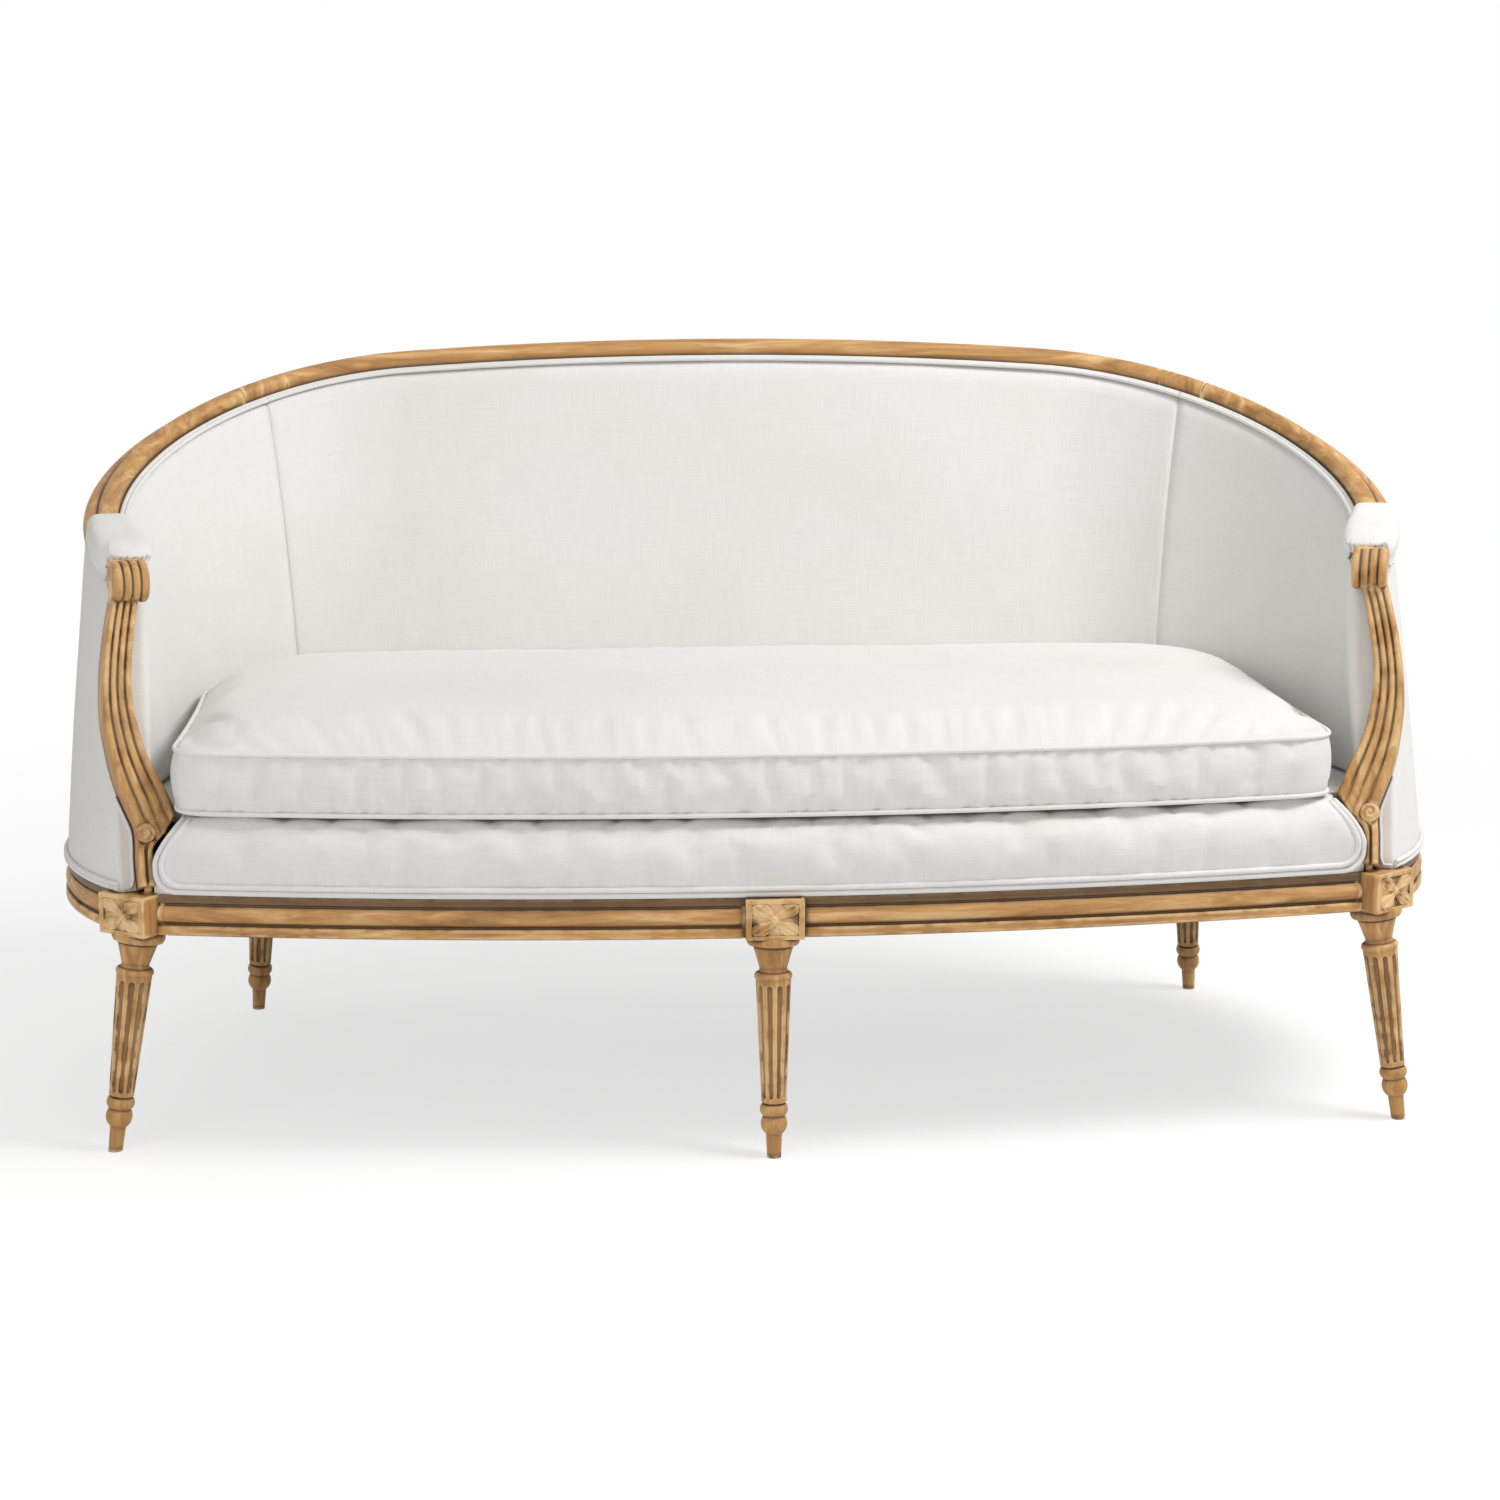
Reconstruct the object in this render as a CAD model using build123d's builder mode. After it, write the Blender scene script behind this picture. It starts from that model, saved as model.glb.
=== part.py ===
from build123d import *
import math
import os

# Carved sofa with a rounded back, a loose seat cushion and turned legs.
# Millimetres. X runs along the seat, the front faces -Y, Z is up and the feet stand on Z = 0.

os.makedirs("parts", exist_ok=True)

# Seat ring: the outer face of the seat rails seen from above.
HALF_WIDTH = 900.0
END_RADIUS = 425.0
END_Y = -63.0
BACK_RISE = 10.0
FRONT_FACE = -428.0
FRONT_BOW = 78.0
FRONT_HALF_CHORD = 770.0

# Top ring: the outer face of the top rail seen from above.
TOP_HALF_WIDTH = 870.0
TOP_RADIUS = 422.0
TOP_Y = 12.0
TOP_RISE = 6.0

# Heights.
LEG_HEIGHT = 280.0
RAIL_HEIGHT = 50.0
SOFA_HEIGHT = 965.0
TOP_SLOPE = 0.33
TOP_ARCH_RADIUS = 8000.0
DECK_HEIGHT = 92.0
CUSHION_BORDER = 74.0
CUSHION_CROWN = 30.0

# Frame timber.
RAIL_DEPTH = 45.0
TOP_RAIL_WIDTH = 44.0
TOP_RAIL_HEIGHT = 30.0
BLOCK_WIDTH = 72.0
BLOCK_DEPTH = 62.0
BLOCK_PROUD = 12.0
CORNER_PROUD = 8.0
BACK_BLOCK_PROUD = 2.0
CORNER_FACE_ANGLE = -54.0
BACK_BLOCK = 56.0
POST_WIDTH = 60.0
POST_ANGLE = 60.5
POST_TOP_ANGLE = 56.6
POST_FACE = 58.0
HEAD_HALF_ANGLE = 4.6
SUPPORT_DEPTH = 32.0
SCROLL_RADIUS = 27.0
SCROLL_DROP = 13.0
VOLUTE_RADIUS = 12.0

# Turned legs: one outline, leaned outward by these angles.
CORNER_SPLAY = 8.0
CENTRE_SPLAY = 3.5
BACK_SPLAY = 8.0
FLUTE_COUNT = 10
ABACUS_RADIUS = 33.0
NECK_RADIUS = 17.0
SHAFT_TOP_RADIUS = 23.0
SHAFT_FOOT_RADIUS = 15.5
PEG_RADIUS = 8.0

# Joinery.
TENON_INSET = 12.0
TENON_LENGTH = 24.0
JOINT_CLEARANCE = 0.2
DOWEL_RADIUS = 5.0
DOWEL_LENGTH = 40.0

# Wall layers, measured inward from the outer line between the two rings.
SEAT_GAP = 0.3
PANEL_DEPTH = 4.0
PANEL_THICK = 3.0
POST_DEPTH = 10.0
POST_THICK = 29.0
LOWER_RAIL_GAP = 4.0
LOWER_RAIL_HEIGHT = 40.0
PAD_DEPTH = 41.0
PAD_BACK = 80.0
PAD_ARM = 138.0
PAD_FRONT = 56.0
PAD_TOP = 56.0
PAD_BULGE = 9.0
ARM_SETBACK = 12.0
ARM_END_TOP = -27.5
ARM_END_FACE = -20.0

# Upholstery.
DECK_FRONT_INSET = 6.0
DECK_RING_INSET = 30.0
DECK_TOP_THICK = 27.0
DECK_ROLL = 24.0
DECK_WALL = 16.0
DECK_WELT_STOP = 62.0
CUSHION_HALF_WIDTH = 722.0
CUSHION_FRONT_INSET = 14.0
CUSHION_CLEARANCE = 14.0
CUSHION_CORNER = 26.0
CUSHION_UNDERCUT = 9.0
CUSHION_WAIST = 4.0
WELT_RADIUS = 4.0
WELT_GAP = 0.8
ARM_PAD_HEIGHT = 18.0
ARM_PAD_OVERHANG = 7.0
ARM_PAD_ANGLE = -12.0
WEB_WIDTH = 50.0
WEB_THICK = 1.5
WEB_SPACING = 95.0
WEB_INSET = 15.0
SPRING_RADIUS = 45.0
SPRING_WIRE = 1.8
SPRING_TURNS = 4
BURLAP_THICK = 1.5
COVER_THICK = 1.0

# Worked out from the sizes above.
RAIL_TOP = LEG_HEIGHT + RAIL_HEIGHT
END_X = HALF_WIDTH - END_RADIUS
TOP_X = TOP_HALF_WIDTH - TOP_RADIUS
SEAT_RING = (END_X, END_Y, END_RADIUS, BACK_RISE)
TOP_RING = (TOP_X, TOP_Y, TOP_RADIUS, TOP_RISE)
TOP_BACK = TOP_Y + TOP_RADIUS + TOP_RISE
FRONT_RADIUS = (FRONT_HALF_CHORD ** 2 + FRONT_BOW ** 2) / (2 * FRONT_BOW)
FRONT_CENTRE = FRONT_FACE + FRONT_RADIUS
DECK_BASE = RAIL_TOP + SEAT_GAP
DECK_TOP = RAIL_TOP + DECK_HEIGHT
CAVITY_TOP = DECK_TOP - DECK_TOP_THICK
PAD_BASE = DECK_TOP + SEAT_GAP
LOWER_RAIL_BASE = PAD_BASE + LOWER_RAIL_GAP
LOWER_RAIL_TOP = LOWER_RAIL_BASE + LOWER_RAIL_HEIGHT
UP = Vector(0, 0, 1)


def compass(angle):
    """Level direction at an angle in degrees, 0 to the right and 90 to the back."""
    return Vector(math.cos(math.radians(angle)), math.sin(math.radians(angle)), 0)


def back_radius(ring):
    """Radius of the flat back arc that runs smoothly into both end arcs of a ring."""
    x, y, radius, rise = ring
    return (x ** 2 + 2 * radius * rise + rise ** 2) / (2 * rise)


def back_angle(ring):
    """Angle at which an end arc passes into the back arc."""
    x, y, radius, rise = ring
    return 90 - math.degrees(math.asin(x / (back_radius(ring) - radius)))


def ring_point(ring, angle, inset=0.0):
    """Plan point of a ring, moved in by the inset, where the ring faces the angle."""
    if angle > 90:
        right = ring_point(ring, 180 - angle, inset)
        return Vector(-right.X, right.Y, 0)
    x, y, radius, rise = ring
    if angle <= back_angle(ring):
        return Vector(x, y, 0) + compass(angle) * (radius - inset)
    long_radius = back_radius(ring)
    middle = Vector(0, y + radius + rise - long_radius, 0)
    return middle + compass(angle) * (long_radius - inset)


def front_point(x, inset=0.0):
    """Plan point of the bowed front at one X, moved back by the inset."""
    radius = FRONT_RADIUS - inset
    return Vector(x, FRONT_CENTRE - math.sqrt(radius ** 2 - x ** 2), 0)


def ring_corner(front_inset=0.0, ring_inset=0.0):
    """Plan point where the bowed front meets the right-hand end arc."""
    near = END_RADIUS - ring_inset
    far = FRONT_RADIUS - front_inset
    to_end = Vector(END_X, END_Y - FRONT_CENTRE, 0)
    span = to_end.length
    along = (far ** 2 - near ** 2 + span ** 2) / (2 * span)
    across = math.sqrt(far ** 2 - along ** 2)
    line = to_end.normalized()
    side = Vector(-line.Y, line.X, 0)
    return Vector(0, FRONT_CENTRE, 0) + line * along + side * across


# Where the wall of the arm ends: set back round the ring from the front corner.
ARM_CORNER = ring_corner() - Vector(END_X, END_Y, 0)
ARM_END_SEAT = math.degrees(math.atan2(ARM_CORNER.Y, ARM_CORNER.X) + ARM_SETBACK / END_RADIUS)


def rail_top(point):
    """Height of the top rail over a plan point: it slopes to the front and arches over the back."""
    base = SOFA_HEIGHT - TOP_SLOPE * (TOP_BACK - TOP_RAIL_WIDTH / 2)
    return base + TOP_SLOPE * point.Y - point.X ** 2 / (2 * TOP_ARCH_RADIUS)


def eased(angle, at_back, at_post, at_end):
    """Angle that runs smoothly through its values at the flat back, the post and the arm end."""
    if angle > 90:
        return 180 - eased(180 - angle, at_back, at_post, at_end)
    turn = back_angle(SEAT_RING)
    if angle >= turn:
        return 90 - (90 - at_back) * (90 - angle) / (90 - turn)
    to_post = turn - POST_ANGLE
    to_end = turn - ARM_END_SEAT
    bend = ((at_back - at_end) / to_end - (at_back - at_post) / to_post) / (to_end - to_post)
    lead = (at_back - at_post) / to_post - bend * to_post
    return at_back - lead * (turn - angle) - bend * (turn - angle) ** 2


def top_angle(angle):
    """Angle on the top ring that belongs to an angle on the seat ring."""
    return eased(angle, back_angle(TOP_RING), POST_TOP_ANGLE, ARM_END_TOP)


def wall_face(angle):
    """Angle that the wall's cross section looks along; it turns to the front at the arm end."""
    return eased(angle, back_angle(SEAT_RING), POST_FACE, ARM_END_FACE)


def wall_foot(angle):
    """Outer edge of the wall on top of the seat rail."""
    return ring_point(SEAT_RING, angle) + UP * RAIL_TOP


def wall_head(angle):
    """Outer edge of the wall under the top rail."""
    middle = ring_point(TOP_RING, top_angle(angle), TOP_RAIL_WIDTH / 2)
    height = rail_top(middle) - TOP_RAIL_HEIGHT
    return ring_point(TOP_RING, top_angle(angle)) + UP * height


def wall_plane(angle):
    """Cross-section plane of the wall: x points outward, y climbs from seat rail to top rail."""
    outward = compass(wall_face(angle))
    climb = wall_head(angle) - wall_foot(angle)
    return Plane(origin=wall_foot(angle), x_dir=outward, z_dir=outward.cross(climb))


def wall_climb(angle):
    """Length of the wall from seat rail to top rail in its cross-section plane."""
    climb = wall_head(angle) - wall_foot(angle)
    run = climb.dot(compass(wall_face(angle)))
    return math.sqrt(climb.length ** 2 - run ** 2)


def wall_xy(angle, share, depth):
    """Cross-section point: share 0 at the seat rail, 1 under the top rail; depth goes inward."""
    climb = wall_head(angle) - wall_foot(angle)
    run = climb.dot(compass(wall_face(angle)))
    return (share * run - depth, share * wall_climb(angle))


def wall_share(angle, height):
    """Share of the wall's climb at a height above the floor."""
    return (height - RAIL_TOP) / (wall_head(angle).Z - RAIL_TOP)


def pad_depth(angle):
    """Depth of the padded inner face just above the seat: deepest along the arms."""
    turn = angle if angle <= 90 else 180 - angle
    if turn >= 0:
        return PAD_BACK + (PAD_ARM - PAD_BACK) * math.cos(math.radians(turn)) ** 2
    ease = math.sin(math.radians(90 * turn / ARM_END_SEAT)) ** 2
    return PAD_ARM + (PAD_FRONT - PAD_ARM) * ease


def steps(start, end, count):
    """Evenly spaced angles from start to end."""
    return [start + (end - start) * i / count for i in range(count + 1)]


def save(piece, name):
    """Name a finished piece and write its STEP file."""
    piece.part.label = name
    export_step(piece.part, "parts/" + name + ".step")


def save_pair(piece, name):
    """Write a right-hand piece and its mirror image."""
    save(piece, name + "_right")
    with BuildPart() as other:
        mirror(piece.part, about=Plane.YZ)
    save(other, name + "_left")


def seat_outline(front_inset, ring_inset):
    """Closed outline of the seat from above: bowed front, two round ends and the back."""
    right = ring_corner(front_inset, ring_inset)
    left = Vector(-right.X, right.Y, 0)
    turn = back_angle(SEAT_RING)
    tangent = ring_point(SEAT_RING, turn, ring_inset)
    far_tangent = Vector(-tangent.X, tangent.Y, 0)
    bulge = ring_point(SEAT_RING, 20, ring_inset)
    far_bulge = Vector(-bulge.X, bulge.Y, 0)
    ThreePointArc(left, front_point(0, front_inset), right)
    ThreePointArc(right, bulge, tangent)
    ThreePointArc(tangent, ring_point(SEAT_RING, 90, ring_inset), far_tangent)
    ThreePointArc(far_tangent, far_bulge, left)


def rail_section(radius):
    """Moulded section of a seat rail whose outer face lies at the radius."""
    inner = radius - RAIL_DEPTH
    low = LEG_HEIGHT
    high = RAIL_TOP
    bead = low + 0.24 * RAIL_HEIGHT
    torus = low + 0.72 * RAIL_HEIGHT
    Polyline(
        (inner, high), (inner, low), (radius - 1.5, low), (radius, low + 1.5),
        (radius, bead - 1.5), (radius - 1.5, bead), (radius - 5.0, bead),
        (radius - 5.0, bead + 2.0),
    )
    ThreePointArc(
        (radius - 5.0, bead + 2.0), (radius - 0.5, (bead + torus) / 2 + 1.0), (radius - 5.0, torus),
    )
    Polyline(
        (radius - 5.0, torus), (radius - 7.0, torus), (radius - 7.0, torus + 2.5),
        (radius - 3.5, torus + 4.5), (radius - 3.5, high), (inner, high),
    )


def tenon_section(radius, grow=0.0):
    """Plain inner section of a seat rail that runs on into the legs as its tenons."""
    Polyline(
        (radius - RAIL_DEPTH + TENON_INSET - grow, LEG_HEIGHT + TENON_INSET - grow),
        (radius - TENON_INSET + grow, LEG_HEIGHT + TENON_INSET - grow),
        (radius - TENON_INSET + grow, RAIL_TOP - TENON_INSET + grow),
        (radius - RAIL_DEPTH + TENON_INSET - grow, RAIL_TOP - TENON_INSET + grow),
        close=True,
    )


def ring_plane(centre, angle):
    """Upright plane through an axis: x runs outward at the angle, y is the height."""
    facing = compass(angle)
    return Plane(origin=centre, x_dir=facing, z_dir=facing.cross(UP))


def turn_rail(centre, radius, start, end):
    """Turn the moulded rail section about an upright axis."""
    with BuildSketch(ring_plane(centre, start)) as profile:
        with BuildLine():
            rail_section(radius)
        make_face()
    revolve(profile.sketch, axis=Axis(centre, (0, 0, 1)), revolution_arc=end - start)


def turn_tenon(centre, radius, start, end, grow=0.0, mode=Mode.ADD):
    """Turn the tenon section about an upright axis; grown and cut away it is the mortise."""
    spare = math.degrees(grow / radius)
    arc = end - start + 2 * spare
    with BuildSketch(ring_plane(centre, start - spare)) as profile:
        with BuildLine():
            tenon_section(radius, grow)
        make_face()
    revolve(profile.sketch, axis=Axis(centre, (0, 0, 1)), revolution_arc=arc, mode=mode)


# Places of the leg blocks.
SEAT_CENTRE = Vector(END_X, END_Y, 0)
FRONT_AXIS = Vector(0, FRONT_CENTRE, 0)
CORNER = ring_corner()
CORNER_OUT = compass(CORNER_FACE_ANGLE)
CORNER_PLACE = CORNER + CORNER_OUT * (CORNER_PROUD - BLOCK_DEPTH / 2) + UP * LEG_HEIGHT
CENTRE_PLACE = Vector(0, FRONT_FACE - BLOCK_PROUD + BLOCK_DEPTH / 2, LEG_HEIGHT)
POST_OUT = compass(POST_ANGLE)
BACK_PLACE = ring_point(SEAT_RING, POST_ANGLE, BACK_BLOCK / 2 - BACK_BLOCK_PROUD) + UP * LEG_HEIGHT
CORNER_AXES = Plane(origin=CORNER_PLACE, x_dir=UP.cross(CORNER_OUT), z_dir=UP)
CENTRE_AXES = Plane(origin=CENTRE_PLACE, x_dir=(1, 0, 0), z_dir=UP)
BACK_AXES = Plane(origin=BACK_PLACE, x_dir=UP.cross(POST_OUT), z_dir=UP)

# Angles at which the rails and their tenons start and stop.
CORNER_FROM_SEAT = math.degrees(math.atan2(CORNER_PLACE.Y - END_Y, CORNER_PLACE.X - END_X))
CORNER_FROM_FRONT = math.degrees(math.asin(CORNER_PLACE.X / FRONT_RADIUS)) - 90
TENON_STOP = BLOCK_WIDTH / 2 - TENON_LENGTH
SEAT_STOP = math.degrees(TENON_STOP / END_RADIUS)
FRONT_STOP = math.degrees(TENON_STOP / FRONT_RADIUS)

FRONT_TENON = (FRONT_AXIS, FRONT_RADIUS, -90 + FRONT_STOP, CORNER_FROM_FRONT - FRONT_STOP)
SIDE_TENON = (SEAT_CENTRE, END_RADIUS, CORNER_FROM_SEAT + SEAT_STOP, POST_ANGLE - SEAT_STOP)
BACK_TENON = (SEAT_CENTRE, END_RADIUS, POST_ANGLE + SEAT_STOP, POST_ANGLE + 12)

# Working solids that are cut from or copied into the pieces below.
with BuildPart() as front_block:
    Box(BLOCK_WIDTH, BLOCK_DEPTH, RAIL_HEIGHT, align=(Align.CENTER, Align.CENTER, Align.MIN))

with BuildPart() as back_block:
    Box(POST_WIDTH, BACK_BLOCK, RAIL_HEIGHT, align=(Align.CENTER, Align.CENTER, Align.MIN))

# Block with a sunk panel and four carved leaves round a button; its face looks along -Y.
ROSETTE_SINK = 3.0
with BuildPart() as rosette_block:
    add(front_block.part)
    face = Plane(origin=(0, -BLOCK_DEPTH / 2, RAIL_HEIGHT / 2), x_dir=(1, 0, 0), z_dir=(0, -1, 0))
    with BuildSketch(face):
        Rectangle(BLOCK_WIDTH - 14, RAIL_HEIGHT - 10)
    extrude(amount=-ROSETTE_SINK, mode=Mode.SUBTRACT)
    with BuildSketch(face.offset(-ROSETTE_SINK)):
        with PolarLocations(0.23 * RAIL_HEIGHT, 4, start_angle=45):
            Ellipse(0.22 * RAIL_HEIGHT, 0.1 * RAIL_HEIGHT)
        Circle(0.11 * RAIL_HEIGHT)
    extrude(amount=ROSETTE_SINK)
    with BuildSketch(face):
        Circle(0.07 * RAIL_HEIGHT)
    extrude(amount=1.5, taper=25)

# Flute cutter: a tapered bar with round ends, standing on the origin.
UNIT = LEG_HEIGHT / 280.0
FLUTE_HIGH = Vector(SHAFT_TOP_RADIUS - 0.2, 0, -61 * UNIT)
FLUTE_LOW = Vector(SHAFT_FOOT_RADIUS + 0.4, 0, -205 * UNIT)
FLUTE_LINE = FLUTE_HIGH - FLUTE_LOW
with BuildPart() as flute:
    low_radius = 0.19 * SHAFT_FOOT_RADIUS
    high_radius = 0.19 * SHAFT_TOP_RADIUS
    length = FLUTE_LINE.length
    bend = math.sqrt(0.5)
    with BuildSketch(Plane.XZ):
        with BuildLine():
            Line((0, 0), (0, length))
            ThreePointArc(
                (0, length), (high_radius * bend, length - high_radius * (1 - bend)),
                (high_radius, length - high_radius),
            )
            Line((high_radius, length - high_radius), (low_radius, low_radius))
            ThreePointArc(
                (low_radius, low_radius), (low_radius * bend, low_radius * (1 - bend)), (0, 0),
            )
        make_face()
    revolve(axis=Axis.Z)

# Turned leg hanging below a block: Z = 0 is the underside of the block.
with BuildPart() as turned_leg:
    with BuildSketch(Plane.XZ):
        with BuildLine():
            Polyline((0, 6), (ABACUS_RADIUS - 4, 6), (ABACUS_RADIUS - 4, 0), (ABACUS_RADIUS - 1.5, 0))
            ThreePointArc(
                (ABACUS_RADIUS - 1.5, 0), (ABACUS_RADIUS, -6 * UNIT), (ABACUS_RADIUS - 2, -12 * UNIT),
            )
            Polyline(
                (ABACUS_RADIUS - 2, -12 * UNIT), (ABACUS_RADIUS - 9, -13 * UNIT),
                (ABACUS_RADIUS - 8.5, -16 * UNIT),
            )
            ThreePointArc(
                (ABACUS_RADIUS - 8.5, -16 * UNIT), (NECK_RADIUS + 4, -28 * UNIT),
                (NECK_RADIUS, -42 * UNIT),
            )
            Line((NECK_RADIUS, -42 * UNIT), (NECK_RADIUS + 1, -46 * UNIT))
            Line((NECK_RADIUS + 1, -46 * UNIT), (SHAFT_TOP_RADIUS - 2, -47 * UNIT))
            ThreePointArc(
                (SHAFT_TOP_RADIUS - 2, -47 * UNIT), (SHAFT_TOP_RADIUS + 0.5, -51 * UNIT),
                (SHAFT_TOP_RADIUS - 1, -55 * UNIT),
            )
            Line((SHAFT_TOP_RADIUS - 1, -55 * UNIT), (SHAFT_FOOT_RADIUS, -210 * UNIT))
            Line((SHAFT_FOOT_RADIUS, -210 * UNIT), (SHAFT_FOOT_RADIUS - 2, -212 * UNIT))
            Line((SHAFT_FOOT_RADIUS - 2, -212 * UNIT), (SHAFT_FOOT_RADIUS, -213.5 * UNIT))
            ThreePointArc(
                (SHAFT_FOOT_RADIUS, -213.5 * UNIT), (SHAFT_FOOT_RADIUS + 2, -219.5 * UNIT),
                (SHAFT_FOOT_RADIUS, -225.5 * UNIT),
            )
            Line((SHAFT_FOOT_RADIUS, -225.5 * UNIT), (SHAFT_FOOT_RADIUS - 2, -228 * UNIT))
            ThreePointArc(
                (SHAFT_FOOT_RADIUS - 2, -228 * UNIT), (SHAFT_FOOT_RADIUS + 1, -237 * UNIT),
                (PEG_RADIUS + 2, -251 * UNIT),
            )
            Line((PEG_RADIUS + 2, -251 * UNIT), (PEG_RADIUS, -300 * UNIT))
            Line((PEG_RADIUS, -300 * UNIT), (0, -300 * UNIT))
            Line((0, -300 * UNIT), (0, 6))
        make_face()
    revolve(axis=Axis.Z)
    with PolarLocations(0, FLUTE_COUNT):
        with Locations(Plane(origin=FLUTE_LOW, x_dir=(0, 1, 0), z_dir=FLUTE_LINE)):
            add(flute.part, mode=Mode.SUBTRACT)


def leaned(place, facing, toward, lean):
    """Axes of a leg that hangs from a block and leans outward toward a level direction."""
    turn = math.radians(lean)
    return Plane(origin=place, x_dir=facing, z_dir=UP * math.cos(turn) - toward * math.sin(turn))


# Centre front leg.
with BuildPart() as front_leg_centre:
    with Locations(CENTRE_AXES):
        add(rosette_block.part)
    with Locations(leaned(CENTRE_PLACE, Vector(1, 0, 0), compass(-90), CENTRE_SPLAY)):
        add(turned_leg.part)
    split(bisect_by=Plane.XY, keep=Keep.TOP)
    turn_tenon(*FRONT_TENON, grow=JOINT_CLEARANCE, mode=Mode.SUBTRACT)
    mirror(front_leg_centre.part, about=Plane.YZ, mode=Mode.INTERSECT)
save(front_leg_centre, "front_leg_centre")

# Seat rails between the legs.
with BuildPart() as front_rail:
    turn_rail(FRONT_AXIS, FRONT_RADIUS, -90, CORNER_FROM_FRONT)
    with Locations(CENTRE_AXES, CORNER_AXES):
        add(front_block.part, mode=Mode.SUBTRACT)
    turn_tenon(*FRONT_TENON)
save_pair(front_rail, "front_rail")

with BuildPart() as side_rail:
    turn_rail(SEAT_CENTRE, END_RADIUS, CORNER_FROM_SEAT, POST_ANGLE)
    with Locations(CORNER_AXES):
        add(front_block.part, mode=Mode.SUBTRACT)
    with Locations(BACK_AXES):
        add(back_block.part, mode=Mode.SUBTRACT)
    turn_tenon(*SIDE_TENON)
save_pair(side_rail, "side_rail")

BACK_TURN = back_angle(SEAT_RING)
BACK_AXIS = Vector(0, END_Y + END_RADIUS + BACK_RISE - back_radius(SEAT_RING), 0)
with BuildPart() as back_rail:
    turn_rail(SEAT_CENTRE, END_RADIUS, POST_ANGLE, BACK_TURN)
    turn_rail(BACK_AXIS, back_radius(SEAT_RING), BACK_TURN, 90)
    with Locations(BACK_AXES):
        add(back_block.part, mode=Mode.SUBTRACT)
    turn_tenon(*BACK_TENON)
    mirror(about=Plane.YZ)
save(back_rail, "back_rail")


def wall_loft(angles, outline):
    """Loft one layer of the wall; the outline draws its closed section at each angle."""
    sections = []
    for angle in angles:
        with BuildSketch(wall_plane(angle)) as section:
            with BuildLine():
                outline(angle)
            make_face()
        sections.append(section.sketch)
    loft(sections)


def back_loft(start, outline):
    """Loft one layer across the back: its round end, half the flat middle, and their mirror."""
    turn = back_angle(SEAT_RING)
    wall_loft(steps(start, turn, 8), outline)
    wall_loft(steps(turn, 90, 3), outline)
    mirror(about=Plane.YZ)


def top_rail_outline(angle):
    """Moulded section of the top rail: a low outer bead, a groove and a broad inner bead."""
    x, y = wall_xy(angle, 1, 0)
    width = TOP_RAIL_WIDTH
    height = TOP_RAIL_HEIGHT
    groove = (x - 0.42 * width, y + 0.62 * height)
    Polyline((x - 0.95 * width, y), (x - 0.05 * width, y), (x, y + 0.2 * height))
    ThreePointArc((x, y + 0.2 * height), (x - 0.09 * width, y + 0.58 * height), groove)
    ThreePointArc(groove, (x - 0.68 * width, y + height), (x - width, y + 0.55 * height))
    Polyline((x - width, y + 0.55 * height), (x - width, y + 0.12 * height), (x - 0.95 * width, y))


def slab_outline(angle, low, high, outer, inner):
    """Plain section of a wall layer between two shares of the climb and two depths."""
    Polyline(
        wall_xy(angle, low, outer), wall_xy(angle, high, outer),
        wall_xy(angle, high, inner), wall_xy(angle, low, inner), close=True,
    )


def panel_outline(angle):
    """Section of an outside panel."""
    gap = SEAT_GAP / wall_climb(angle)
    slab_outline(angle, gap, 1 - gap, PANEL_DEPTH, PANEL_DEPTH + PANEL_THICK)


def pad_outline(angle):
    """Section of an inside pad: flat behind, full in front."""
    low = wall_share(angle, PAD_BASE)
    high = 1 - SEAT_GAP / wall_climb(angle)
    bottom = Vector(*wall_xy(angle, low, pad_depth(angle)))
    top = Vector(*wall_xy(angle, high, PAD_TOP))
    middle = (bottom + top) * 0.5 - Vector(PAD_BULGE, 0)
    ThreePointArc(bottom, middle, top)
    Polyline(top, wall_xy(angle, high, PAD_DEPTH), wall_xy(angle, low, PAD_DEPTH), bottom)


def lower_rail_outline(angle):
    """Section of the rail that holds the lower edge of the upholstery."""
    low = wall_share(angle, LOWER_RAIL_BASE)
    high = wall_share(angle, LOWER_RAIL_TOP)
    slab_outline(angle, low, high, POST_DEPTH + 4, PAD_DEPTH - WEB_THICK - 3.5 * SEAT_GAP)


def inner_welt_outline(angle):
    """Section of the double welt below the top rail, inside."""
    low = 1 + SEAT_GAP / wall_climb(angle)
    high = 1 + 2 * WELT_RADIUS / wall_climb(angle)
    outer = TOP_RAIL_WIDTH + 3.2 * SEAT_GAP
    slab_outline(angle, low, high, outer, outer + 2 * WELT_RADIUS)


def arm_pad_size(angle):
    """Fullness of the arm pad along its length: rounded off at both ends."""
    share = (angle - ARM_END_SEAT) / (ARM_PAD_ANGLE - ARM_END_SEAT)
    return 0.45 + 0.55 * math.sqrt(max(0.0, 1 - (2 * share - 1) ** 4))


def arm_pad_outline(angle):
    """Section of the stuffed pad on the arm rail: straight low sides under a round top."""
    x, y = wall_xy(angle, 1, TOP_RAIL_WIDTH / 2)
    full = arm_pad_size(angle)
    half = (TOP_RAIL_WIDTH / 2 + ARM_PAD_OVERHANG) * full
    base = y + TOP_RAIL_HEIGHT + SEAT_GAP
    side = base + 0.4 * ARM_PAD_HEIGHT * full
    crown = base + ARM_PAD_HEIGHT * full
    Polyline((x - half, side), (x - 0.9 * half, base), (x + 0.9 * half, base), (x + half, side))
    ThreePointArc((x + half, side), (x, crown), (x - half, side))


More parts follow.
